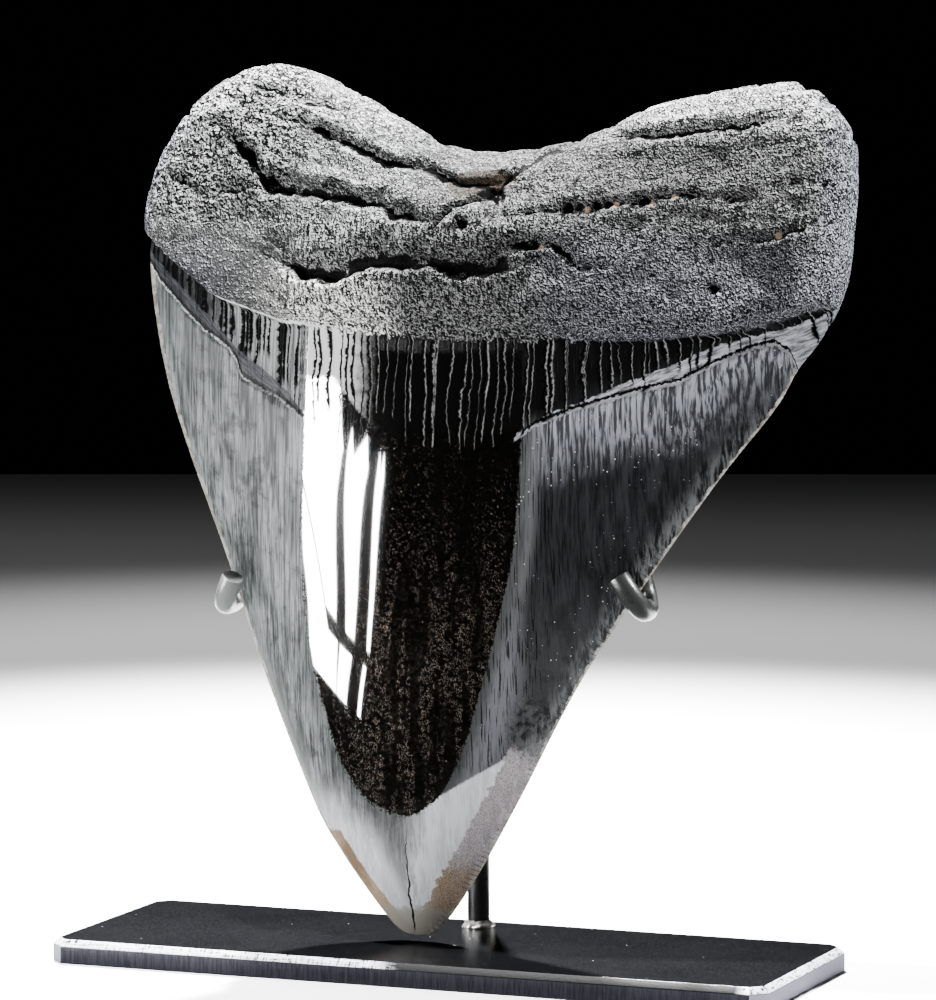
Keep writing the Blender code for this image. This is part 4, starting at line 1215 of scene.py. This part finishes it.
    # Root: rough bone with painted light and shade. Its spots are painted pale where they face up
    # towards a fixed light and dark where they face down. The grain is coarse on the left lobe, fine
    # and crowded on the right, fibrous in the middle, and faint low on the left, where only a few
    # black pores break the smooth ground.
    worn_low = times(window(tree, noisy(z, cloud, 8.0), 100.0, 95.0),
                     window(tree, noisy(x, cloud, 10.0), -8.0, -20.0))
    on_left_lobe = times(window(tree, noisy(x, cloud, 8.0), -18.0, -25.0),
                         window(tree, noisy(z, cloud, 5.0), 99.0, 104.0))
    fine_relief = use_effect(tree, relief, Where=where, Fineness=2.1, Roughness=0.55, Step=0.13)
    coarse_relief = use_effect(tree, relief, Where=where, Fineness=1.0, Roughness=0.55,
                               Step=0.24)
    from_notch = plus(x, -NOTCH_HOLLOW[0] * 0.6)
    from_notch = maths(tree, "SQRT", plus(times(from_notch, from_notch), 9.0))
    drop = times(times(from_notch, window(tree, z, 90.0, 106.0)), -SLOPE_OF_FOLDS)
    sloped = node(tree, "ShaderNodeCombineXYZ",
                  {0: times(x, 0.22), 1: y, 2: times(plus(z, drop), 0.9)}).outputs[0]
    folds = use_effect(tree, relief, Where=sloped, Fineness=0.55, Roughness=0.60, Step=0.30)
    fibres = grain(tree, stretched(tree, where, (3.0, 2.0, 0.45)), 1.0, 4.0, 0.65)
    fibrous = times(window(tree, noisy(z, cloud, 6.0), 104.0, 100.0), window(tree, x, 26.0, 12.0))
    fibrous = times(fibrous, window(tree, x, -24.0, -16.0))
    coarse_part = plus(0.12, times(on_left_lobe, 1.35))
    # Painted light and shade: how far each spot faces the fixed light, from the fine, coarse and fold
    # relief and the fibres.
    painted_lighting = plus(times(fine_relief[1], window(tree, x, -5.0, 12.0, 6.0, 8.8)),
                     times(times(coarse_relief[1], coarse_part), 5.5))
    folded = window(tree, noisy(z, cloud, 5.0), 98.0, 106.0, 0.7, 2.6)
    painted_lighting = plus(painted_lighting, times(folds[1], folded))
    painted_lighting = times(painted_lighting, flipped(times(worn_low, 0.45)))
    painted_lighting = plus(painted_lighting, times(times(maths(tree, "SUBTRACT", fibres, 0.5), 4.0), fibrous))
    tone = plus(painted_lighting, 0.5)
    # Bluish grey near the root's edges, low on its right and low at its left side.
    by_root_edge = window(tree, noisy(edge_in, cloud, 8.0), 5.0, 1.2)
    right_low_root = times(window(tree, x, 14.0, 30.0), window(tree, z, 103.0, 92.0))
    bone_mid = paint(tree, window(tree, noisy(x, cloud, 8.0), -10.0, 4.0), (0.076, 0.077, 0.078),
                     (0.037, 0.0375, 0.0375))
    creamy = times(window(tree, noisy(z, cloud, 4.0), 95.0, 91.0),
                   times(window(tree, x, -26.0, -18.0), window(tree, noisy(x, fine, 5.0), 0.0, -7.0)))
    bone_mid = paint(tree, creamy, bone_mid, (0.245, 0.245, 0.238))
    # Painted light from above: the root's top is painted paler.
    painted_top_light = window(tree, noisy(z, cloud, 7.0), 112.0, 118.0)
    bone_mid = paint(tree, painted_top_light, bone_mid, (0.125, 0.126, 0.127))
    bluish = maths(tree, "MAXIMUM", by_root_edge,
                   maths(tree, "MAXIMUM", right_low_root,
                         times(window(tree, z, 100.0, 90.0), window(tree, x, -26.0, -34.0))))
    bone_mid = paint(tree, times(bluish, 0.7), bone_mid, (0.052, 0.054, 0.064))
    # The painted light sets how bright the bone is; low places in the fine relief are painted darker
    # as shade in its creases.
    shade = plus(window(tree, tone, 0.18, 0.52, 0.0, 0.85), window(tree, tone, 0.52, 1.05, 0.0, 6.4))
    shade = times(shade, window(tree, fine_relief[0], 0.235, 0.275, 0.35, 1.0))
    bone = node(tree, "ShaderNodeVectorMath", {0: bone_mid, 3: shade},
                operation="SCALE").outputs[0]
    # Painted shade: black pores where the grain dips below a level, more of them on the left lobe.
    pores = grain(tree, where, 2.3, 2.0, 0.6)
    crowd = plus(plus(0.330, times(window(tree, noisy(x, cloud, 14.0), -22.0, 0.0), 0.055)),
                 times(on_left_lobe, 0.080))
    above_pore = maths(tree, "SUBTRACT", pores, crowd)
    bone = paint(tree, window(tree, above_pore, 0.035, 0.0), bone, (0.0020, 0.0020, 0.0020))
    # The notch's hollow: dark brown earth, painted down to near black as shade.
    hollow = node(tree, "ShaderNodeVectorMath", {0: where, 1: NOTCH_HOLLOW},
                  operation="SUBTRACT").outputs[0]
    hollow = node(tree, "ShaderNodeVectorMath",
                  {0: stretched(tree, hollow, (0.19, 0.0, 0.42))}, operation="LENGTH")
    hollow = window(tree, noisy(hollow.outputs["Value"], middling, 0.9), 1.15, 0.65)
    earth_and_shade = paint(tree, window(tree, fine, 0.45, 0.60), (0.006, 0.005, 0.004),
                   (0.050, 0.034, 0.021))
    bone = paint(tree, times(times(hollow, flipped(back)), 0.85), bone, earth_and_shade)
    # Painted shade: black in the furrows and pits.
    torn = paint(tree, window(tree, z, 99.0, 97.0), middling, fibres)
    bone = paint(tree, window(tree, noisy(furrow, torn, 1.3), 0.32, 0.55), bone,
                 (0.0012, 0.0012, 0.0012))
    bone = paint(tree, times(window(tree, noisy(sand, fine, 0.3), 0.40, 0.60), flipped(back)), bone,
                 (0.34, 0.245, 0.170))
    soft_border = times(window(tree, maths(tree, "ABSOLUTE", plus(x, -4.0)), 26.0, 14.0), 2.5)
    root_edge = plus(root_in, times(maths(tree, "SUBTRACT", middling, 0.5),
                                    plus(0.6, soft_border)))
    on_root = window(tree, root_edge, -0.12, 0.12)
    # Painted highlight: a thin white line along the root's border on the left.
    lip = times(window(tree, maths(tree, "ABSOLUTE", plus(root_edge, -0.20)), 0.24, 0.10),
                window(tree, x, -11.0, -14.0))
    bone = paint(tree, times(lip, window(tree, fine, 0.34, 0.44)), bone, (0.85, 0.86, 0.86))
    surface = paint(tree, on_root, surface, bone)
    tree.links.new(surface, shader.inputs["Base Color"])

    polish = times(times(tongue, flipped(on_root)), flipped(on_slate))
    polish = times(times(polish, flipped(dark_line)), flipped(times(pale_line, 0.8)))
    polish = times(times(polish, flipped(painted_reflection)), window(tree, root_in, -1.0, -2.6))
    tree.links.new(polish, shader.inputs["Coat Weight"])
    shader.inputs["Coat Roughness"].default_value = 0.03
    shader.inputs["Coat IOR"].default_value = 2.2
    shader.inputs["Specular IOR Level"].default_value = 0.025
    gloss = paint(tree, on_root, (0.36, 0.36, 0.36), (0.65, 0.65, 0.65))
    gloss = paint(tree, dark_line, gloss, (0.95, 0.95, 0.95))
    gloss = paint(tree, polish, gloss, (0.04, 0.04, 0.04))
    tree.links.new(gloss, shader.inputs["Roughness"])

    rise = plus(times(fine_relief[0], 1.3), times(coarse_relief[0], times(coarse_part, 2.0)))
    rise = plus(rise, times(window(tree, above_pore, 0.0, 0.06), 0.35))
    height = times(times(rise, flipped(times(worn_low, 0.55))), on_root)
    shallow = times(plus(times(streak, 0.06), times(fine, 0.03)), flipped(times(polish, 0.93)))
    ridges = plus(times(dark_line, -0.5), times(pale_line, 0.35))
    height = plus(height, times(plus(shallow, ridges), flipped(on_root)))
    bump(tree, shader, height, 0.00040)
    return material


add_piece("dressed_tooth", build_tooth(), build_fossil_finish(), "fossil", "tooth")


# ---------------------------------------------------------------- floor and lights
# A pale floor with pools of light on it from spots behind the stand. Further back it is painted
# darker, a painted falloff of light. It is painted near black to mirror rays close to the stand,
# and darker to bounced light than it looks. A glowing window of three lights stands close at the
# left and is mirrored in the tongue. Spots and soft panels above, in front and at both sides
# light the rest.

FLOOR_LENGTH = 1.5
FLOOR_WIDTH = 2.6
FLOOR_BACK = 0.79
PANEL_TURN = math.radians(-50.0)
PANEL_DISTANCE = 0.28
PANEL_STRENGTH = 130.0

# The window is straight-edged and leans to the right above its crossbar. Places are metres
# along the panel and up from the floor.
WINDOW_BEND_UP = 0.092           # the edges stand upright above this
CROSSBAR_FOOT = 0.030
CROSSBAR_TOP = 0.038
WINDOW_FOOT = 0.001

# Its two right-hand lights: the top, then the left and right edge at the bend, above the
# crossbar, below it and at the foot.
RIGHT_LIGHTS = (
    (0.102, (0.057, 0.076), (0.006, 0.024), (-0.012, 0.014), (-0.046, -0.024)),
    (0.099, (0.092, 0.097), (0.056, 0.063), (0.044, 0.051), (0.008, 0.016)),
)

# Its left-hand light is parted by a slanting lead line, so it has two outlines of its own.
LEFT_LIGHTS = (
    ((-0.064, 0.137), (-0.062, 0.098), (-0.024, 0.064), (-0.032, CROSSBAR_TOP),
     (-0.014, CROSSBAR_TOP), (0.043, WINDOW_BEND_UP), (0.043, 0.137)),
    ((-0.058, 0.039), (-0.027, 0.061), (-0.037, CROSSBAR_FOOT), (-0.018, CROSSBAR_FOOT),
     (-0.048, WINDOW_FOOT), (-0.104, WINDOW_FOOT)),
)


def add_stage(name, bm, material):
    mesh = bpy.data.meshes.new(name)
    bm.to_mesh(mesh)
    bm.free()
    mesh.materials.append(material)
    made = bpy.data.objects.new(name, mesh)
    bpy.context.scene.collection.objects.link(made)
    return made


def build_floor():
    material, tree, shader = new_finish("floor")
    where = node(tree, "ShaderNodeTexCoord").outputs["Object"]
    tone = grain(tree, where, 4.0, 3.0, 0.5)
    seen = paint(tree, tone, (0.80, 0.80, 0.80), (0.84, 0.84, 0.85))
    x, y = node(tree, "ShaderNodeSeparateXYZ", {0: where}).outputs[:2]
    # Painted falloff: the floor is painted darker further back along the view.
    away = maths(tree, "SUBTRACT", product(tree, y, math.cos(VIEW_TURN[2])),
                 product(tree, x, math.sin(VIEW_TURN[2])))
    seen = paint(tree, window(tree, away, 0.58, 0.80), seen, (0.30, 0.30, 0.31))
    # Painted for other rays: near black to mirror rays close to the stand, darker to bounced light.
    rays = node(tree, "ShaderNodeLightPath").outputs
    mirrored = paint(tree, window(tree, y, 0.04, 0.09), (0.002, 0.002, 0.002), (0.6, 0.6, 0.6))
    given_back = paint(tree, rays["Is Diffuse Ray"], mirrored, (0.27, 0.27, 0.27))
    tree.links.new(paint(tree, rays["Is Camera Ray"], given_back, seen),
                   shader.inputs["Base Color"])
    shader.inputs["Roughness"].default_value = 0.9
    shader.inputs["Specular IOR Level"].default_value = 0.0
    bm = bmesh.new()
    bmesh.ops.create_grid(bm, x_segments=1, y_segments=1, size=0.5)
    bmesh.ops.scale(bm, vec=(FLOOR_WIDTH, FLOOR_LENGTH, 1.0), verts=bm.verts)
    bmesh.ops.translate(bm, vec=(0.0, FLOOR_BACK - FLOOR_LENGTH / 2, 0.0), verts=bm.verts)
    bmesh.ops.rotate(bm, matrix=Matrix.Rotation(VIEW_TURN[2], 3, "Z"), verts=bm.verts)
    add_stage("floor", bm, material)


def window_outlines():
    """The left light's own outlines, and an upper and a lower one for each light beside it."""
    outlines = list(LEFT_LIGHTS)
    for top, at_bend, above_bar, below_bar, at_foot in RIGHT_LIGHTS:
        outlines.append([(at_bend[0], top), (at_bend[1], top),
                         (at_bend[1], WINDOW_BEND_UP), (above_bar[1], CROSSBAR_TOP),
                         (above_bar[0], CROSSBAR_TOP), (at_bend[0], WINDOW_BEND_UP)])
        outlines.append([(below_bar[0], CROSSBAR_FOOT), (below_bar[1], CROSSBAR_FOOT),
                         (at_foot[1], WINDOW_FOOT), (at_foot[0], WINDOW_FOOT)])
    return outlines


def build_panes():
    """Glowing panes that only gloss and mirrors pick up: the soft panels do the lighting."""
    material = bpy.data.materials.new("pane_glow")
    material.use_nodes = True
    tree = material.node_tree
    tree.nodes.clear()
    glow = node(tree, "ShaderNodeEmission", {"Strength": PANEL_STRENGTH})
    end = node(tree, "ShaderNodeOutputMaterial")
    tree.links.new(glow.outputs[0], end.inputs["Surface"])
    bm = bmesh.new()
    out = Vector((math.sin(PANEL_TURN), -math.cos(PANEL_TURN), 0.0))
    side = Vector((math.cos(PANEL_TURN), math.sin(PANEL_TURN), 0.0))
    for pane in window_outlines():
        corners = [bm.verts.new(out * PANEL_DISTANCE + side * s + Vector((0.0, 0.0, up)))
                   for s, up in pane]
        bmesh.ops.contextual_create(bm, geom=corners)
    bmesh.ops.triangulate(bm, faces=bm.faces)
    panes = add_stage("panes", bm, material)
    panes.visible_camera = False
    panes.visible_diffuse = False
    panes.visible_shadow = False


def add_light(name, kind, place, aim, watts, mirrored=True, **settings):
    data = bpy.data.lights.new(name, kind)
    data.energy = watts
    for key, value in settings.items():
        setattr(data, key, value)
    lamp = bpy.data.objects.new(name, data)
    lamp.location = place
    lamp.rotation_euler = (Vector(aim) - Vector(place)).to_track_quat("-Z", "Y").to_euler()
    lamp.visible_camera = False
    lamp.visible_glossy = mirrored
    bpy.context.scene.collection.objects.link(lamp)


build_floor()
build_panes()
add_light("near_pool", "SPOT", (-0.30, 0.55, 1.0), (-0.045, 0.120, 0.0), 1250.0,
          spot_size=math.radians(22.2), spot_blend=0.85, shadow_soft_size=0.03)
add_light("far_pool", "SPOT", (-0.30, 0.65, 1.0), (-0.10, 0.246, 0.0), 34.0,
          spot_size=math.radians(26.5), spot_blend=0.5, shadow_soft_size=0.06)
add_light("far_dim", "SPOT", (-0.30, 0.75, 1.0), (-0.10, 0.32, 0.0), 0.50,
          spot_size=math.radians(52.0), spot_blend=1.0, shadow_soft_size=0.06)
add_light("overhead", "SPOT", (-0.13, -0.03, 0.95), (0.002, 0.0, 0.10), 205.0,
          spot_size=math.radians(12.0), spot_blend=0.35, shadow_soft_size=0.015)
add_light("front_panel", "AREA", (-0.18, -0.25, 0.60), (0.0, 0.0, 0.10), 0.5,
          shape="RECTANGLE", size=0.25, size_y=0.2)
add_light("front_fill", "SPOT", (0.10, -0.60, 0.02), (0.002, 0.0, 0.090), 22.0, mirrored=False,
          spot_size=math.radians(15.5), spot_blend=0.8, shadow_soft_size=0.05)
add_light("left_panel", "AREA", (-0.55, -0.30, 0.16), (0.0, 0.0, 0.08), 2.0, mirrored=False,
          shape="RECTANGLE", size=0.16, size_y=0.30)
add_light("right_rim", "SPOT", (0.45, 0.20, 0.42), (0.060, 0.0, 0.112), 90.0,
          spot_size=math.radians(9.0), spot_blend=0.5, shadow_soft_size=0.03)

world = bpy.data.worlds.new("room")
bpy.context.scene.world = world
world.use_nodes = True
world.node_tree.nodes["Background"].inputs["Color"].default_value = (0.5, 0.52, 0.55, 1.0)
world.node_tree.nodes["Background"].inputs["Strength"].default_value = 0.001
